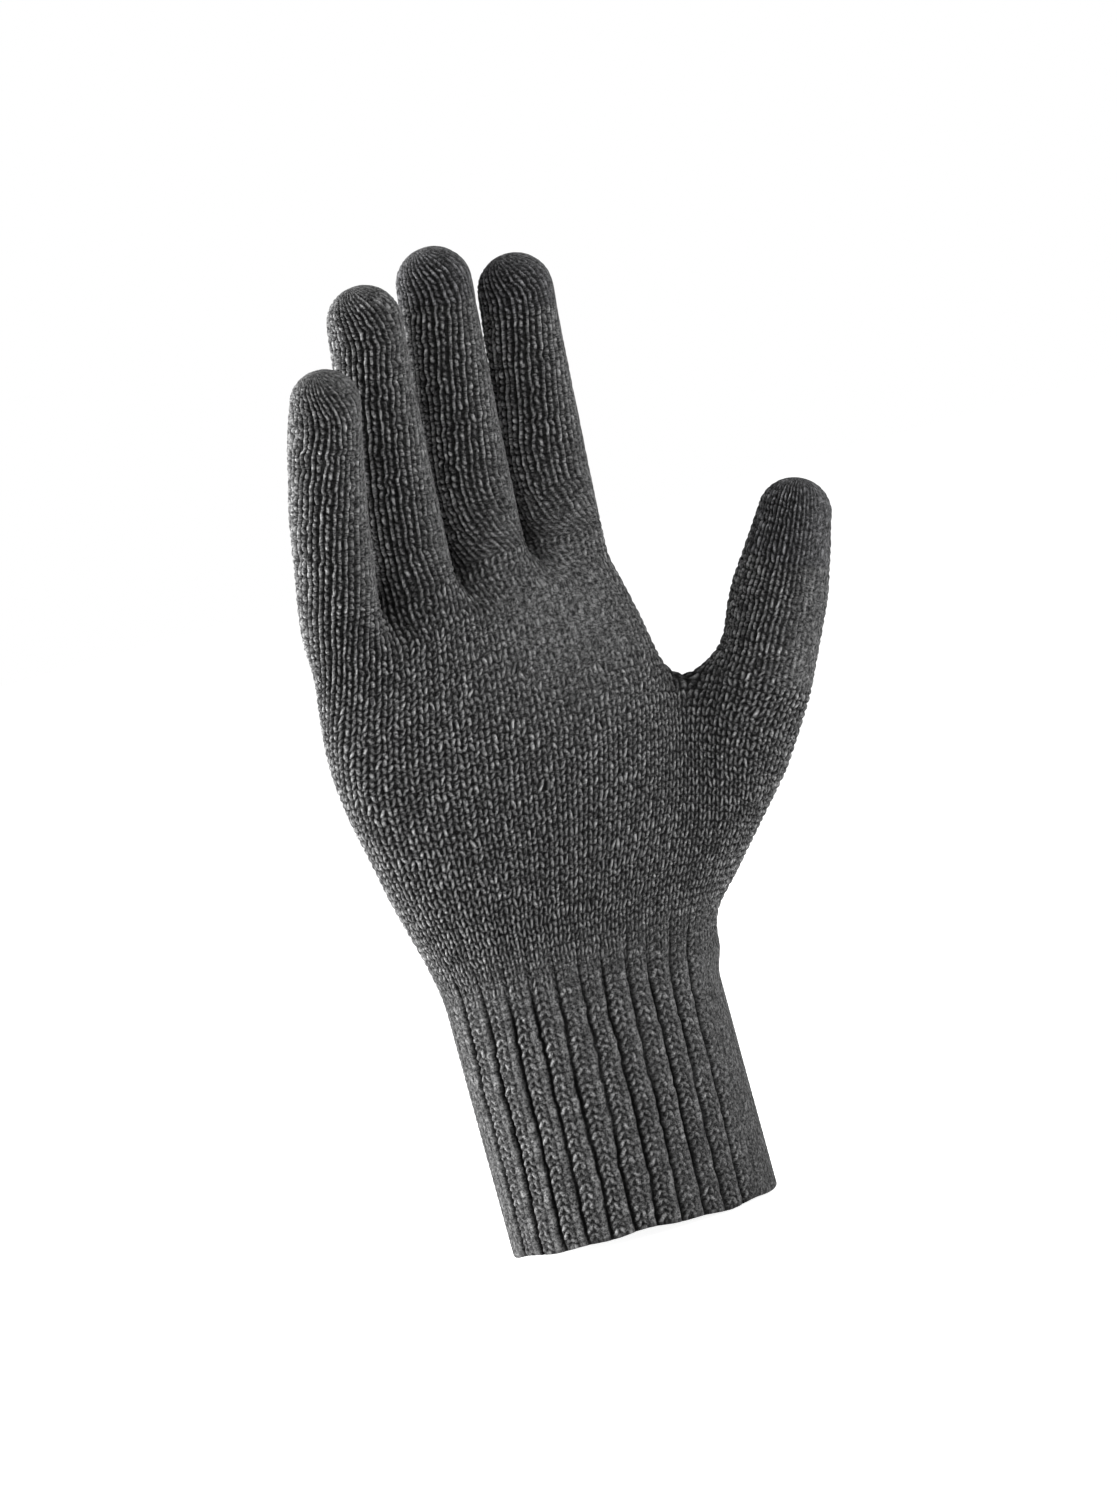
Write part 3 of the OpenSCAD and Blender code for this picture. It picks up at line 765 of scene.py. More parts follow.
class Cloth:
    """Fine points of a stretch of the net, with the place of each in its wale and course."""

    def __init__(self, net, ids, closed, seed, course0, wale0):
        points, normals = net.points[ids], net.normals[ids]
        for axis, parts, loop in ((1, FINE_ACROSS, closed), (0, FINE_ALONG, False)):
            points = np.swapaxes(divide(np.swapaxes(points, 0, axis), parts, loop), 0, axis)
            normals = np.swapaxes(divide(np.swapaxes(normals, 0, axis), parts, loop), 0, axis)
        self.points, self.normals = points, unit(normals)
        self.shape = rows, cols = points.shape[:2]
        per_wale = NET_STEP * FINE_ACROSS
        self.wale = np.tile(wale0 + np.arange(cols) / per_wale, (rows, 1))
        self.course = np.tile((course0 + np.arange(rows) / FINE_ALONG)[:, None], (1, cols))
        # Stitches wander a little, but not at the edges, where two pieces meet.
        row, col = np.arange(rows) / FINE_ALONG, np.arange(cols) / per_wale
        rim = np.minimum(row, row[-1] - row)[:, None]
        if not closed:
            rim = np.minimum(rim, np.minimum(col, col[-1] - col)[None])
        rim = np.clip(rim / RIM, 0, 1)
        drift, sway, swell = (uneven(self.shape, per_wale, seed + k * SEED_STEP, closed) for k in range(3))
        self.drift, self.sway, self.swell = DRIFT * rim * drift, SWAY * rim * sway, 1 + SWELL * rim * swell

    def mesh(self, name, rows=slice(None), cols=slice(None)):
        """A mesh of some of its rows and columns, sunk by the relief."""
        raised = self.points - self.normals * self.sink[..., None]
        return grid_mesh(name, *(v[rows, cols] for v in (raised, self.wale, self.course, self.shade)))


def grid_mesh(name, points, wale, course, shade):
    """A mesh from a grid of points in millimetres, with its stitch map and the shade of its yarn."""
    rows, cols = wale.shape
    bm = bmesh.new()
    bmesh.ops.create_grid(bm, x_segments=cols - 1, y_segments=rows - 1, size=1.0)
    mesh = bpy.data.meshes.new(name)
    bm.to_mesh(mesh)
    bm.free()
    if len(mesh.vertices) != rows * cols:
        raise RuntimeError(f"{name}: the grid has {len(mesh.vertices)} points and not {rows * cols}")
    flat = np.zeros(3 * rows * cols)
    mesh.vertices.foreach_get("co", flat)
    flat = flat.reshape(-1, 3)
    col = np.rint((flat[:, 0] + 1) / 2 * (cols - 1)).astype(int)
    row = np.rint((flat[:, 1] + 1) / 2 * (rows - 1)).astype(int)
    mesh.vertices.foreach_set("co", (points[row, col] * MM).ravel())
    corner = np.zeros(len(mesh.loops), int)
    mesh.loops.foreach_get("vertex_index", corner)
    layer = mesh.uv_layers.new(name="Stitch")
    at = np.stack([wale[row, col], course[row, col]], 1)
    layer.uv.foreach_set("vector", at[corner].astype(np.float32).ravel())
    kept = mesh.attributes.new("shade", "FLOAT", "POINT")
    kept.data.foreach_set("value", np.broadcast_to(shade, wale.shape)[row, col].astype(np.float32))
    return mesh


def make_piece(name, meshes, material):
    """One object from its grids, with seams and poles closed."""
    bm = bmesh.new()
    for mesh in meshes:
        bm.from_mesh(mesh)
    bmesh.ops.remove_doubles(bm, verts=bm.verts, dist=WELD)
    bmesh.ops.dissolve_degenerate(bm, dist=SPECK, edges=bm.edges)
    for face in bm.faces:
        face.smooth = True
    mesh = bpy.data.meshes.new(name)
    bm.to_mesh(mesh)
    bm.free()
    for old in meshes:
        bpy.data.meshes.remove(old)
    mesh.materials.append(material)
    piece = bpy.data.objects.new(name, mesh)
    bpy.context.scene.collection.objects.link(piece)
    return piece


def add(tree, kind, links=None, **settings):
    """Adds a node with its settings, and sets or links its inputs by name or number."""
    node = tree.nodes.new(kind)
    for key, value in settings.items():
        setattr(node, key, value)
    for key, value in (links or {}).items():
        if isinstance(value, bpy.types.NodeSocket):
            tree.links.new(value, node.inputs[key])
        else:
            node.inputs[key].default_value = value
    return node


def yarn(name, dark, light, mottle):
    """Heathered spun yarn: pale and dark fibres twisted together, so that each stitch is flecked, with a
    dull face, a haze of loose fibres at its edges and deep shade between the stitches."""
    # The deep shade between the stitches is painted shade, from the shade attribute.
    material = bpy.data.materials.new(name)
    material.use_nodes = True
    tree = material.node_tree
    shader = tree.nodes["Principled BSDF"]
    # One fleck is a little less than half a wale wide and half a course long.
    place = add(tree, "ShaderNodeUVMap", uv_map="Stitch").outputs["UV"]
    noise = {"Vector": place, "Scale": YARN_FLECKS, "Detail": 3.0, "Roughness": 0.75}
    flecks = add(tree, "ShaderNodeTexNoise", noise, noise_dimensions="2D").outputs["Fac"]
    limits = {"Value": flecks, "From Min": 0.5 - mottle, "From Max": 0.5 + mottle}
    fleck = add(tree, "ShaderNodeMapRange", limits).outputs["Result"]
    # Fibres are drawn about 0.3 mm wide, coarser than real ones, so that they show.
    where = add(tree, "ShaderNodeTexCoord").outputs["Object"]
    noise = {"Vector": where, "Scale": 1 / (FIBRE_SPACING * MM), "Detail": 2.0, "Roughness": 0.6}
    fibres = add(tree, "ShaderNodeTexNoise", noise).outputs["Fac"]
    limits = {"Value": fibres, "From Min": 0.3, "From Max": 0.7, "To Min": 0.6, "To Max": 1.4}
    grain = add(tree, "ShaderNodeMapRange", limits).outputs["Result"]
    # The shade attribute holds the fibres' random tone and the painted shade in the gaps, grooves, crotches
    # and on the inner face.
    shade = add(tree, "ShaderNodeAttribute", attribute_name="shade").outputs["Fac"]
    level = add(tree, "ShaderNodeMath", {0: shade, 1: grain}, operation="MULTIPLY").outputs["Value"]
    tone = add(tree, "ShaderNodeMix", {"Factor": fleck, 6: dark, 7: light}, data_type="RGBA").outputs[2]
    colour = {"Factor": 1.0, 6: tone, 7: level}
    colour = add(tree, "ShaderNodeMix", colour, data_type="RGBA", blend_type="MULTIPLY").outputs[2]
    bump = add(tree, "ShaderNodeBump", {"Height": fibres, "Strength": 0.5, "Distance": FIBRE_RISE * MM})
    tree.links.new(colour, shader.inputs["Base Color"])
    tree.links.new(bump.outputs["Normal"], shader.inputs["Normal"])
    shader.inputs["Roughness"].default_value = 0.95
    tree.links.new(level, shader.inputs["Sheen Tint"])
    shader.inputs["Specular IOR Level"].default_value = 0.05
    shader.inputs["Sheen Weight"].default_value = 0.2
    shader.inputs["Sheen Roughness"].default_value = 0.6
    return material


class GloveSizes(PropertyGroup):
    """Sizes of the knit that a user would change."""

    palm_relief: FloatProperty(
        name="Palm relief", description="Depth of the palm's stitches", default=0.6 * MM, unit="LENGTH"
    )
    finger_relief: FloatProperty(
        name="Finger relief", description="Depth of the fingers' stitches", default=1.0 * MM, unit="LENGTH"
    )
    touch_relief: FloatProperty(
        name="Touch relief", description="Depth of the touch tips' stitches", default=0.7 * MM, unit="LENGTH"
    )
    rib_relief: FloatProperty(
        name="Rib relief", description="Depth of the stitches on the ribs", default=0.8 * MM, unit="LENGTH"
    )
    rib_groove: FloatProperty(
        name="Rib groove", description="Depth of the grooves between ribs", default=1.3 * MM, unit="LENGTH"
    )
    hem_drop: FloatProperty(
        name="Hem drop", description="Extra length on the thumb side", default=2.2 * MM, unit="LENGTH"
    )


COLOUR = {"subtype": "COLOR", "size": 4}


class GloveColours(PropertyGroup):
    """Colours of the yarns and the floor."""

    dark: FloatVectorProperty(
        name="Dark fibres", description="Dark fibres of the knit", default=linear("#2f2f30"), **COLOUR
    )
    light: FloatVectorProperty(
        name="Pale fibres", description="Pale fibres of the knit", default=linear("#8a8a8a"), **COLOUR
    )
    touch: FloatVectorProperty(
        name="Touch fibres", description="Pale fibres of the touch tips", default=linear("#7c7c7e"), **COLOUR
    )
    elastic: FloatVectorProperty(
        name="Elastic", description="Cover of the elastic yarns", default=linear("#3a3a3c"), **COLOUR
    )
    floor: FloatVectorProperty(
        name="Floor", description="Floor of the stage", default=linear("#f4f4f4"), **COLOUR
    )


STATE = {}


def knit_net():
    """The net, made once for all pieces."""
    if "net" not in STATE:
        STATE["net"] = Net()
    return STATE["net"]


def yarn_of(kind):
    """The material of one kind of yarn, made once."""
    if kind not in STATE:
        colours = bpy.context.scene.glove_colours
        # Name, pale colour, and how softly the flecks blend.
        plan = {
            # Spun acrylic of pale and dark fibres: soft, dull and flecked grey.
            "knit": ("Heathered acrylic yarn, plain knit", colours.light, 0.13),
            # The same yarn drawn tight in the rib.
            "rib": ("Heathered acrylic yarn, rib knit", colours.light, 0.13),
            # Acrylic with coated fibres spun in: a shade darker, else like the knit around it.
            "touch": ("Conductive spun yarn", colours.touch, 0.13),
            # Thread wound round a rubber core: dark, with little fleck.
            "elastic": ("Covered elastic yarn", colours.elastic, 0.3),
        }
        name, light, mottle = plan[kind]
        STATE[kind] = yarn(name, colours.dark, light, mottle)
    return STATE[kind]


class GLOVE_OT_cuff(Operator):
    """Knits the rib cuff, its welt and the elastic yarns inside it"""

    bl_idname = "glove.cuff"
    bl_label = "Rib cuff"

    courses, per_rib = 30, 21
    oval_points = 1441
    hem_rows, lining_rows = 8, 14
    hem_round = 0.8
    # The hem drops from this place across the cuff, over this width.
    drop_from, drop_over = -22.0, 50.0
    # Height and number of the hem's waves and of its ripples, and where the waves start.
    wave, waves, wave_start = 0.25, 5, 0.15
    ripple, ripples = 0.2, 11
    # Share of a rib and of a course by which the stitches wander, and the height below the wrist it takes.
    rib_wander, course_wander, wander_rise = 0.03, 0.1, 4.0
    # How far the lining follows the ribs, and how far below the wrist it ends.
    lining_wave, lining_gap = 0.3, 0.4
    # The elastic yarn's sides, the columns in one turn of its cover, and the painted shade that winds round
    # it between the cover's turns, and how much that varies.
    yarn_sides, wrap_columns = 8, 3.0
    wrap_shade, wrap_vary = 0.5, 0.4

    def execute(self, context):
        sizes = context.scene.glove_sizes
        self.lay_oval()
        low = self.hem_line(sizes)
        z, wale, stitches, sink, shade = self.knit_ribs(low, sizes)

        outer = np.array([self.ring(s, h) for s, h in zip(sink, z)])
        inside = RIB_WALL - self.lining_wave * sink[0] / sink[0].max()
        hem = []
        for t in np.linspace(np.pi, 0, self.hem_rows)[:-1]:
            inward = (1 - math.cos(t)) / 2
            depth = sink[0] * (1 - inward) + inside * inward
            hem.append(self.ring(depth, low - self.hem_round * math.sin(t)))
        welt_rows = int(round(len(z) * WELT_H / CUFF_H)) + 1
        # The welt's lowest row is kept round the hem.
        below = ((len(hem), 0), (0, 0))
        round_hem = [np.pad(v[:welt_rows], below, mode="edge") for v in (wale, stitches, shade)]
        welt = grid_mesh("welt", np.concatenate([np.array(hem), outer[:welt_rows]]), *round_hem)
        above = slice(welt_rows - 1, None)
        ribs = grid_mesh("rib", outer[above], wale[above], stitches[above], shade[above])
        up = np.linspace(1, 0, self.lining_rows)
        lining = [self.ring(inside, low + (CUFF_H - self.lining_gap - low) * k) for k in up]
        across = np.tile(wale[0], (self.lining_rows, 1))
        down = np.tile(np.linspace(0, stitches[0].min(), self.lining_rows)[:, None], (1, len(self.oval)))
        # The lining takes a flat painted shade, as it lies inside the cuff.
        back = grid_mesh("lining", np.array(lining), across, down, INNER_PAINTED_SHADE)
        for name, meshes, node in (
            ("cuff_welt_knit", [welt], "cuff_welt"),
            ("rib_cuff_knit", [ribs, back], "rib_cuff"),
        ):
            piece = make_piece(name, meshes, yarn_of("rib"))
            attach(piece, "cuff")
            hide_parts(node)
        self.lay_elastic()
        return {"FINISHED"}

    def lay_oval(self):
        """The cuff's outline from above, and the way out of it at each point."""
        angle = np.radians(np.linspace(180, 540, self.oval_points))
        line = np.stack([CUFF_W / 2 * np.cos(angle), CUFF_D / 2 * np.sin(angle)], 1)
        self.oval = evenly(line, RIBS * self.per_rib + 1)
        self.oval[-1] = self.oval[0]
        step = np.roll(self.oval[:-1], -1, 0) - np.roll(self.oval[:-1], 1, 0)
        out = unit(np.stack([step[:, 1], -step[:, 0]], 1))
        self.out = np.concatenate([out, out[:1]])
        self.share = np.arange(len(self.oval)) / (len(self.oval) - 1)

    def hem_line(self, sizes):
        """Height of the hem's edge, which hangs lower on the thumb side and waves."""
        drop = sizes.hem_drop / MM * ease((self.oval[:, 0] - self.drop_from) / self.drop_over)
        low = self.hem_round - drop
        low = low + self.wave * np.sin(2 * np.pi * (self.waves * self.share + self.wave_start))
        return low + self.ripple * np.sin(2 * np.pi * self.ripples * self.share)

    def knit_ribs(self, low, sizes):
        """Heights, stitch map, relief and shade of the ribs, which fade into the palm's knit at the wrist."""
        rows, cols = self.courses * FINE_ALONG + 1, len(self.oval)
        course = np.tile((np.arange(rows) / FINE_ALONG)[:, None], (1, cols))
        z = low + (CUFF_H - low) * course / self.courses
        phase = RIBS * self.share + 0.5 - RIB_TWIST * z
        wander = uneven((rows, cols), self.per_rib, CUFF_SEED, True)
        wander = wander * np.clip((CUFF_H - z) / self.wander_rise, 0, 1)
        phase, course = phase + self.rib_wander * wander, course + self.course_wander * wander
        sink, shade = rib_form(phase, course, z, self.out, sizes)
        stitches = (z - CUFF_H) / PALM_COURSE
        wale = np.tile(self.share * WRIST_WALES - 0.5, (rows, 1))
        plain, plain_shade = knit(wale, stitches, 0.0, 0.0)
        keep = rib_share(z)
        sink = keep * sink + (1 - keep) * (1 - plain) * sizes.palm_relief / MM
        return z, wale, stitches, sink, keep * shade + (1 - keep) * plain_shade

    def ring(self, sink, z):
        """Points round the cuff at a depth below its outline and a height."""
        flat = self.oval - self.out * np.broadcast_to(sink, len(self.oval))[:, None]
        points = np.concatenate([flat, np.broadcast_to(z, len(flat))[:, None]], 1)
        return points + flare(np.concatenate([self.oval, points[:, 2:]], 1))

    def lay_elastic(self):
        """Round covered yarns just inside the ribs, in place of the plain rings."""
        meshes = []
        radius = ELASTIC_T / 2
        depth = RIB_WALL + ELASTIC_GAP + radius
        turn = np.linspace(0, 2 * np.pi, self.yarn_sides + 1)
        wrap = np.tile(np.arange(len(self.oval)) / self.wrap_columns, (len(turn), 1))
        wrap = wrap + (turn / (2 * np.pi))[:, None]
        # A helix of painted shade between the turns of the cover.
        shade = self.wrap_shade + self.wrap_vary * np.cos(2 * np.pi * wrap)
        for k in range(1, ELASTIC_ROWS + 1):
            z = WELT_H + k * (CUFF_H - WELT_H) / (ELASTIC_ROWS + 1)
            rings = [self.ring(depth - radius * math.cos(t), z + radius * math.sin(t)) for t in turn]
            meshes.append(grid_mesh("elastic", np.array(rings), wrap, np.full_like(wrap, k), shade))
        piece = make_piece("cuff_elastic_yarn", meshes, yarn_of("elastic"))
        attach(piece, "cuff")
        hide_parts("cuff_elastic")


class GLOVE_OT_palm(Operator):
    """Knits the palm, the back of the hand and the ball of the thumb in one tube"""

    bl_idname = "glove.palm"
    bl_label = "Palm and back"

    def execute(self, context):
        sizes = context.scene.glove_sizes
        net = knit_net()
        front, ball = net.front, net.ball
        lower, upper = net.lower, net.upper
        # The wale over the web is laid with a margin of one course and half a wale, so that it takes the
        # curves of the thumb's root and of the palm at its edges.
        web = np.concatenate([upper[:1], upper])[:, front - 1 : front + 4]
        web[0, 1:4] = lower[-2, front], net.saddle, lower[-2, front + ball]
        web[:2, 0], web[:2, 4] = lower[-1, front + 1], lower[-1, front + ball - 1]
        # Blocks of each piece: points, first column, first course and margin.
        plan = {
            "palm_knit": [(np.concatenate([lower[:, : front + 1], upper[1:, : front + 1]]), 0, 0, 0)],
            "hand_back_knit": [
                (np.concatenate([lower[:, front + ball :], upper[1:, front + 2 :]]), front + ball, 0, 0),
                (web, front - 1, LOWER_COURSES - 1, 1),
            ],
            "thumb_ball_knit": [(lower[:, front : front + ball + 1], front, 0, 0)],
        }
        for k, (name, blocks) in enumerate(plan.items()):
            meshes = []
            for ids, col, course, margin in blocks:
                cloth = self.knit_block(net, ids, col, course, PALM_SEED + k, sizes)
                rows = slice(margin * FINE_ALONG, None)
                cols = slice(margin * FINE_ACROSS, cloth.shape[1] - margin * FINE_ACROSS)
                meshes.append(cloth.mesh(name, rows, cols))
                meshes.append(self.inside(net, ids[margin:, margin : ids.shape[1] - margin]))
            piece = make_piece(name, meshes, yarn_of("knit"))
            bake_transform(piece)
            if name == "palm_knit":
                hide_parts("palm_shell")
        return {"FINISHED"}

    def knit_block(self, net, ids, col, course, seed, sizes):
        """The knit of one block: the rib fades out at the wrist, and the stitch opens towards the fingers."""
        cloth = Cloth(net, ids, False, seed, course, col / NET_STEP)
        if course:
            # The strip over the web is narrow, so its stitches don't wander.
            cloth.drift, cloth.sway, cloth.swell = 0.0, 0.0, 1.0
        z = cloth.points[..., 2]
        phase = RIBS * (0.5 + cloth.wale) / WRIST_WALES + 0.5 - RIB_TWIST * z
        rib_sink, rib_shade = rib_form(phase, cloth.course, z, cloth.normals, sizes)
        keep = np.zeros_like(z) if course else rib_share(z)
        opened = opening(cloth.course - LOWER_COURSES - UPPER_COURSES, cloth.points)
        cloth.wale = cloth.wale - twist(cloth.course) + cloth.sway
        cloth.course = cloth.course + cloth.drift
        relief, shade = knit(cloth.wale, cloth.course, opened, drawn(cloth.points))
        depth = ((1 - opened) * sizes.palm_relief + opened * sizes.finger_relief) / MM
        cloth.sink = keep * rib_sink + (1 - keep) * (1 - relief) * cloth.swell * depth
        # Painted shade darkens the knit between the fingers and at the thumb's web.
        cloth.shade = (keep * rib_shade + (1 - keep) * shade) * net.painted_shade_between_digits(cloth.points)
        return cloth

    def inside(self, net, ids):
        """The inner face of a stretch of the net, one wall below it."""
        ids = ids[:, ::-1]
        points = net.points[ids] - net.normals[ids] * KNIT_WALL
        row, col = np.meshgrid(*(np.arange(n, dtype=float) for n in ids.shape), indexing="ij")
        # The inner face takes a flat painted shade, as it lies inside the glove.
        return grid_mesh("inside", points, col / NET_STEP, row, INNER_PAINTED_SHADE)


def digit_cloth(net, name, seed, sizes):
    """The knit of one finger or the thumb, from its root to its closed end."""
    digit = net.digits[name]
    ids, heights = net.tubes[name]
    is_thumb = name == "thumb"
    below = LOWER_COURSES + (0 if is_thumb else UPPER_COURSES)
    # Each digit has a stretch of the stitch map for itself, so that its flecks are its own.
    cloth = Cloth(net, ids, True, seed, below, CHANCES * seed)
    row = np.arange(cloth.shape[0])[:, None] / FINE_ALONG
    u = np.interp(row, np.arange(len(heights)), heights)

    # The stitches open from the palm's knit into the finger's, are swept sideways where they leave it, and
    # turn again at the closed end.
    swept = ROOT_SWEEP[name] * np.clip(1 - row / SWEEP_OVER, 0, 1) ** 2
    if not is_thumb:
        swept = swept - TIP_SWEEP * np.clip(1 - (digit.end - u) / TIP_LENGTH, 0, 1) ** 2
    swept = swept + twist(below) + (0 if is_thumb else FINGER_TWIST * row)
    cloth.wale, cloth.course = cloth.wale - swept + cloth.sway, cloth.course + cloth.drift
    opened = THUMB_OPEN * ease(row / OPEN_OVER) if is_thumb else opening(row, cloth.points)

    # On the thumb-side flank the knit is stretched flat, and it gathers smoothly at the closed end.
    first = -180 * (THUMB_FRONT / THUMB_WALES if is_thumb else FRONT_WALES / FINGER_WALES)
    angle = (first + np.linspace(0, 360, cloth.shape[1]) + 180) % 360 - 180
    flank = FLANK * np.exp(-(((angle - FLANK_AT) / FLANK_WIDE) ** 2)) * ease(row / FLANK_OVER)
    end = sum(part * ease((u - digit.end + start) / over) for part, start, over in END_CALM)
    calm = 1 - (1 - drawn(cloth.points)) * (1 - flank) * (1 - end)
    relief, shade = knit(cloth.wale, cloth.course, opened, calm)
    # Painted shade darkens the knit between the fingers and at the thumb's web.
    cloth.shade = shade * net.painted_shade_between_digits(cloth.points)
    depth = (1 - opened) * sizes.palm_relief + opened * sizes.finger_relief
    if name in TOUCH_LENGTH:
        touch_from = digit.end - TOUCH_LENGTH[name]
        touch = ease((u - touch_from + TOUCH_BLEND / 2) / TOUCH_BLEND)
        depth = (1 - touch) * depth + touch * sizes.touch_relief
    cloth.sink = (1 - relief) * cloth.swell * depth / MM
    return cloth


def knit_digit(name, seed, sizes):
    """All stretches of one finger or the thumb, split between its folds."""
    net = knit_net()
    digit = net.digits[name]
    ids, heights = net.tubes[name]
    cloth = digit_cloth(net, name, seed, sizes)
    bodies = [body for body in (f"{name}_{part}" for part in PARTS) if body in frame["bodies"]]
    folds = digit.folds
    ends = [folds[1] - (THUMB_FOLD_HALF if name == "thumb" else FOLD_HALF)]
    ends += [(a + b) / 2 for a, b in zip(folds[1:], folds[2:])]
    ends.append(digit.end - TOUCH_LENGTH.get(name, 0.0))
    cuts = [0] + [int(np.argmin(np.abs(heights - end))) for end in ends]
    parent = "palm"
    for i, body in enumerate(bodies):
        rows = slice(cuts[i] * FINE_ALONG, cuts[i + 1] * FINE_ALONG + 1)
        piece = make_piece(f"{body}_knit", [cloth.mesh(body, rows)], yarn_of("knit"))
        low, high = heights[cuts[i]], heights[cuts[i + 1]]
        centre, way, _ = digit.frame(np.array(folds[i] if i else (low + high) / 2))
        if i:
            finish = min(folds[i] - low, high - folds[i], FOLD_HALF) - FOLD_SPARE
            start = -finish
        else:
            # The span starts above the whole ring at the root.
            start = ((net.points[ids[0]] - centre) @ way).max()
            finish = ((net.points[ids[cuts[1]]] - centre) @ way).min()
        start, finish = (tuple((centre + way * r) * MM) for r in (start, finish))
        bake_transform(piece)
        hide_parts(f"{body}_sleeve")
        parent = body
    if name in TOUCH_LENGTH:
        end = cloth.mesh(name, slice(cuts[-1] * FINE_ALONG, None))
        tip = make_piece(f"{name}_touch_knit", [end], yarn_of("touch"))
        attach(tip, parent)
        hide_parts(f"{name}_touch_tip")


class GLOVE_OT_fingers(Operator):
    """Knits the four fingers between their folds"""

    bl_idname = "glove.fingers"
    bl_label = "Fingers"

    def execute(self, context):
        for k, name in enumerate(FINGERS):
            knit_digit(name, FINGER_SEED + k, context.scene.glove_sizes)
        return {"FINISHED"}


class GLOVE_OT_thumb(Operator):
    """Knits the thumb"""

    bl_idname = "glove.thumb"
    bl_label = "Thumb"

    def execute(self, context):
        knit_digit("thumb", THUMB_SEED, context.scene.glove_sizes)
        return {"FINISHED"}


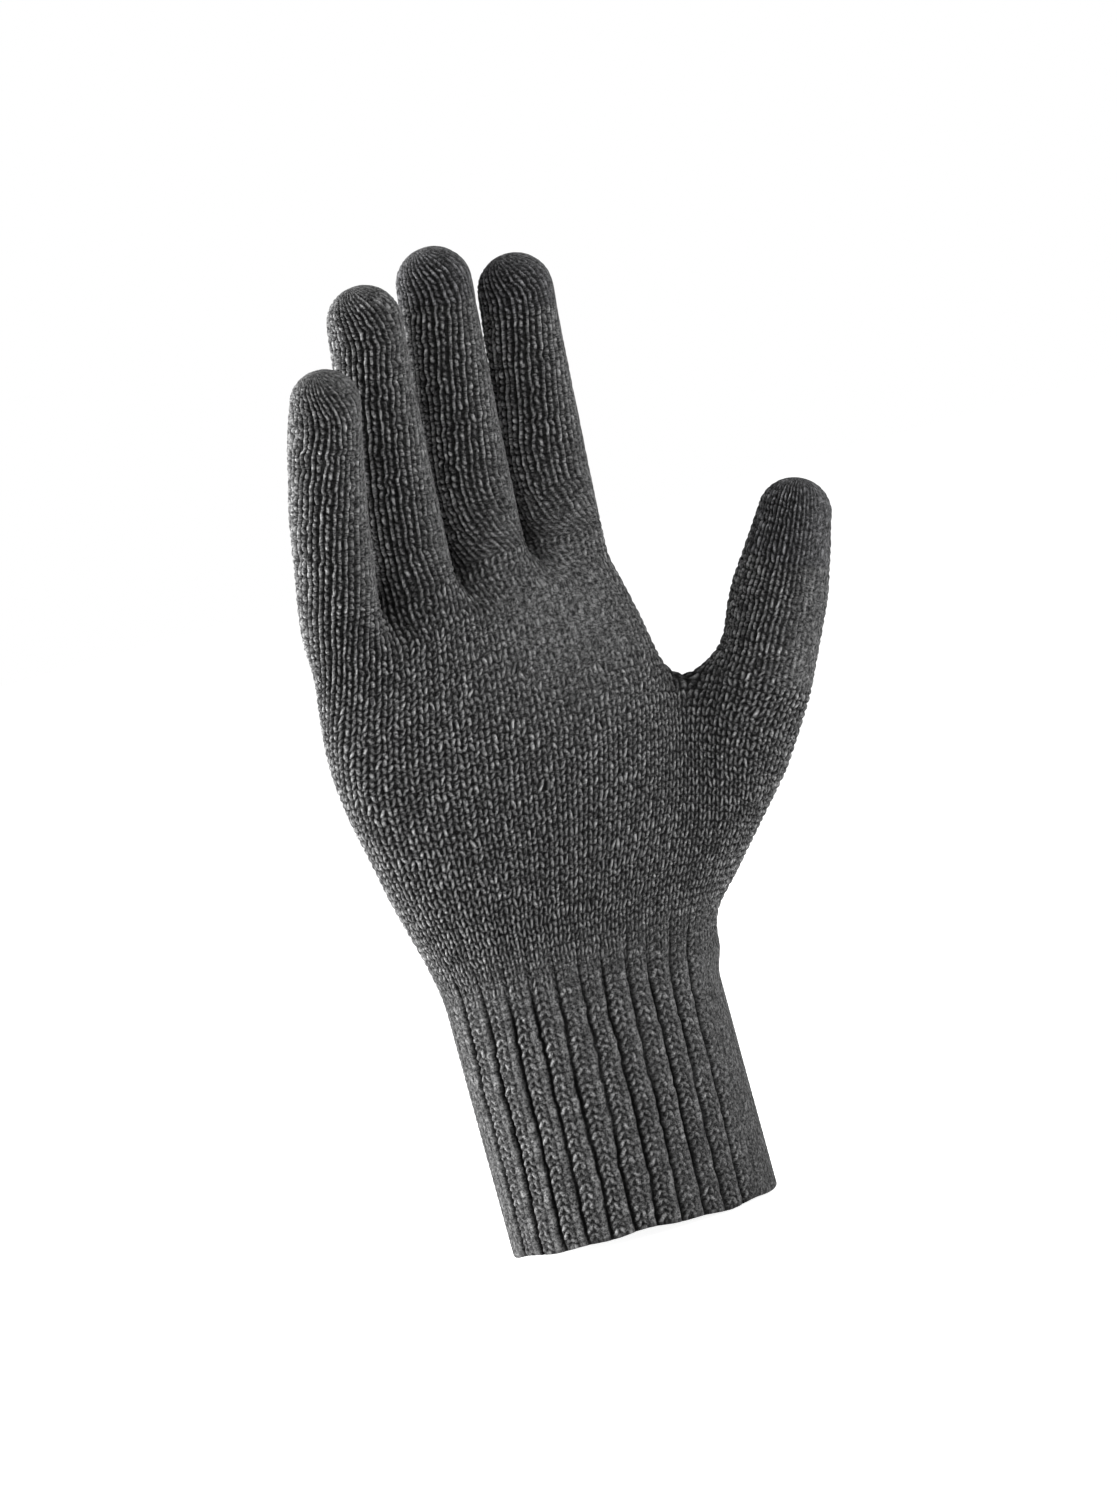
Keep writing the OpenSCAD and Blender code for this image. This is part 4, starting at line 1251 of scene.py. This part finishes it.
class GLOVE_OT_stage(Operator):
    """Sets up the floor, the lamps, the white surround and the camera"""

    bl_idname = "glove.stage"
    bl_label = "Stage"

    azimuth, elevation, roll = 22.0, 3.0, 15.3
    target = (0.01095, 0.00116, 0.11645)
    distance, lens = 1.6, 156.3
    clip = (0.05, 30.0)
    floor_z, floor_size = -0.0029, 8.0
    # How much the floor glows to the camera, and how bright the surround is as a light.
    floor_glow, surround_light = 0.92, 0.22
    aim = (0.01, 0.0, 0.13)
    # Place, size and power of each lamp.
    lamps = {
        "lamp_left": ((-1.25, 0.3, 0.4), 0.7, 46.0),
        "lamp_right": ((1.05, -0.95, 0.5), 0.6, 7.0),
        "lamp_front": ((0.1, -1.5, 0.45), 0.9, 13.5),
    }

    def execute(self, context):
        scene = context.scene
        self.make_floor(scene)
        self.make_world(scene)
        self.make_lamps(scene)
        self.make_camera(scene)
        scene.view_settings.view_transform = "Standard"
        return {"FINISHED"}

    def make_floor(self, scene):
        bm = bmesh.new()
        place = Matrix.Translation((0, 0, self.floor_z))
        bmesh.ops.create_grid(bm, x_segments=1, y_segments=1, size=self.floor_size, matrix=place)
        mesh = bpy.data.meshes.new("floor")
        bm.to_mesh(mesh)
        bm.free()
        floor = bpy.data.objects.new("floor", mesh)
        scene.collection.objects.link(floor)
        # Matt white studio floor; to the camera it glows a little, so that it meets the white surround.
        material = bpy.data.materials.new("Matt white studio floor")
        material.use_nodes = True
        tree = material.node_tree
        shader = tree.nodes["Principled BSDF"]
        shader.inputs["Base Color"].default_value = scene.glove_colours.floor
        shader.inputs["Roughness"].default_value = 1.0
        shader.inputs["Specular IOR Level"].default_value = 0.0
        shader.inputs["Emission Color"].default_value = (1, 1, 1, 1)
        glow = add(tree, "ShaderNodeMath", {0: self.seen(tree), 1: self.floor_glow}, operation="MULTIPLY")
        tree.links.new(glow.outputs["Value"], shader.inputs["Emission Strength"])
        mesh.materials.append(material)

    def seen(self, tree):
        """1 for what the camera, a reflection or glass sees, and 0 for light on the glove."""
        path = add(tree, "ShaderNodeLightPath")
        level = path.outputs["Is Camera Ray"]
        for ray in ("Is Glossy Ray", "Is Transmission Ray"):
            either = {0: level, 1: path.outputs[ray]}
            level = add(tree, "ShaderNodeMath", either, operation="MAXIMUM").outputs["Value"]
        return level

    def make_world(self, scene):
        world = bpy.data.worlds.new("White surround")
        world.use_nodes = True
        tree = world.node_tree
        ground = tree.nodes["Background"]
        ground.inputs["Color"].default_value = (1, 1, 1, 1)
        limits = {"Value": self.seen(tree), "To Min": self.surround_light, "To Max": 1.0}
        level = add(tree, "ShaderNodeMapRange", limits)
        tree.links.new(level.outputs["Result"], ground.inputs["Strength"])
        scene.world = world

    def make_lamps(self, scene):
        for name, (place, size, power) in self.lamps.items():
            lamp = bpy.data.lights.new(name, "AREA")
            lamp.size = size
            lamp.energy = power
            made = bpy.data.objects.new(name, lamp)
            made.location = place
            made.rotation_mode = "QUATERNION"
            made.rotation_quaternion = (Vector(self.aim) - Vector(place)).to_track_quat("-Z", "Y")
            scene.collection.objects.link(made)

    def make_camera(self, scene):
        a, e, r = (math.radians(v) for v in (self.azimuth, self.elevation, self.roll))
        right = Vector((math.cos(a), -math.sin(a), 0))
        ahead = Vector((math.sin(a) * math.cos(e), math.cos(a) * math.cos(e), -math.sin(e)))
        up = right.cross(ahead)
        level_right = right * math.cos(r) - up * math.sin(r)
        level_up = right * math.sin(r) + up * math.cos(r)
        data = bpy.data.cameras.new("camera")
        data.lens = self.lens
        data.clip_start, data.clip_end = self.clip
        camera = bpy.data.objects.new("camera", data)
        turn = Matrix((level_right, level_up, -ahead)).transposed().to_4x4()
        camera.matrix_world = Matrix.Translation(Vector(self.target) - ahead * self.distance) @ turn
        scene.collection.objects.link(camera)
        scene.camera = camera


class GLOVE_PT_panel(Panel):
    """Lists the steps and their sizes"""

    bl_label = "Knitted glove"
    bl_idname = "GLOVE_PT_panel"
    bl_space_type = "VIEW_3D"
    bl_region_type = "UI"
    bl_category = "Glove"

    def draw(self, context):
        for group in (context.scene.glove_sizes, context.scene.glove_colours):
            for name in group.__annotations__:
                self.layout.prop(group, name)
        for step in STEPS:
            self.layout.operator(step.bl_idname)


STEPS = (GLOVE_OT_stage, GLOVE_OT_cuff, GLOVE_OT_palm, GLOVE_OT_fingers, GLOVE_OT_thumb)
CLASSES = (GloveSizes, GloveColours) + STEPS + (GLOVE_PT_panel,)


def register():
    for cls in CLASSES:
        bpy.utils.register_class(cls)
    bpy.types.Scene.glove_sizes = PointerProperty(type=GloveSizes)
    bpy.types.Scene.glove_colours = PointerProperty(type=GloveColours)


def unregister():
    del bpy.types.Scene.glove_sizes
    del bpy.types.Scene.glove_colours
    for cls in reversed(CLASSES):
        bpy.utils.unregister_class(cls)


def main():
    register()
    bpy.ops.glove.stage()
    bpy.ops.glove.cuff()
    bpy.ops.glove.palm()
    bpy.ops.glove.fingers()
    bpy.ops.glove.thumb()


if __name__ == "__main__":
    main()
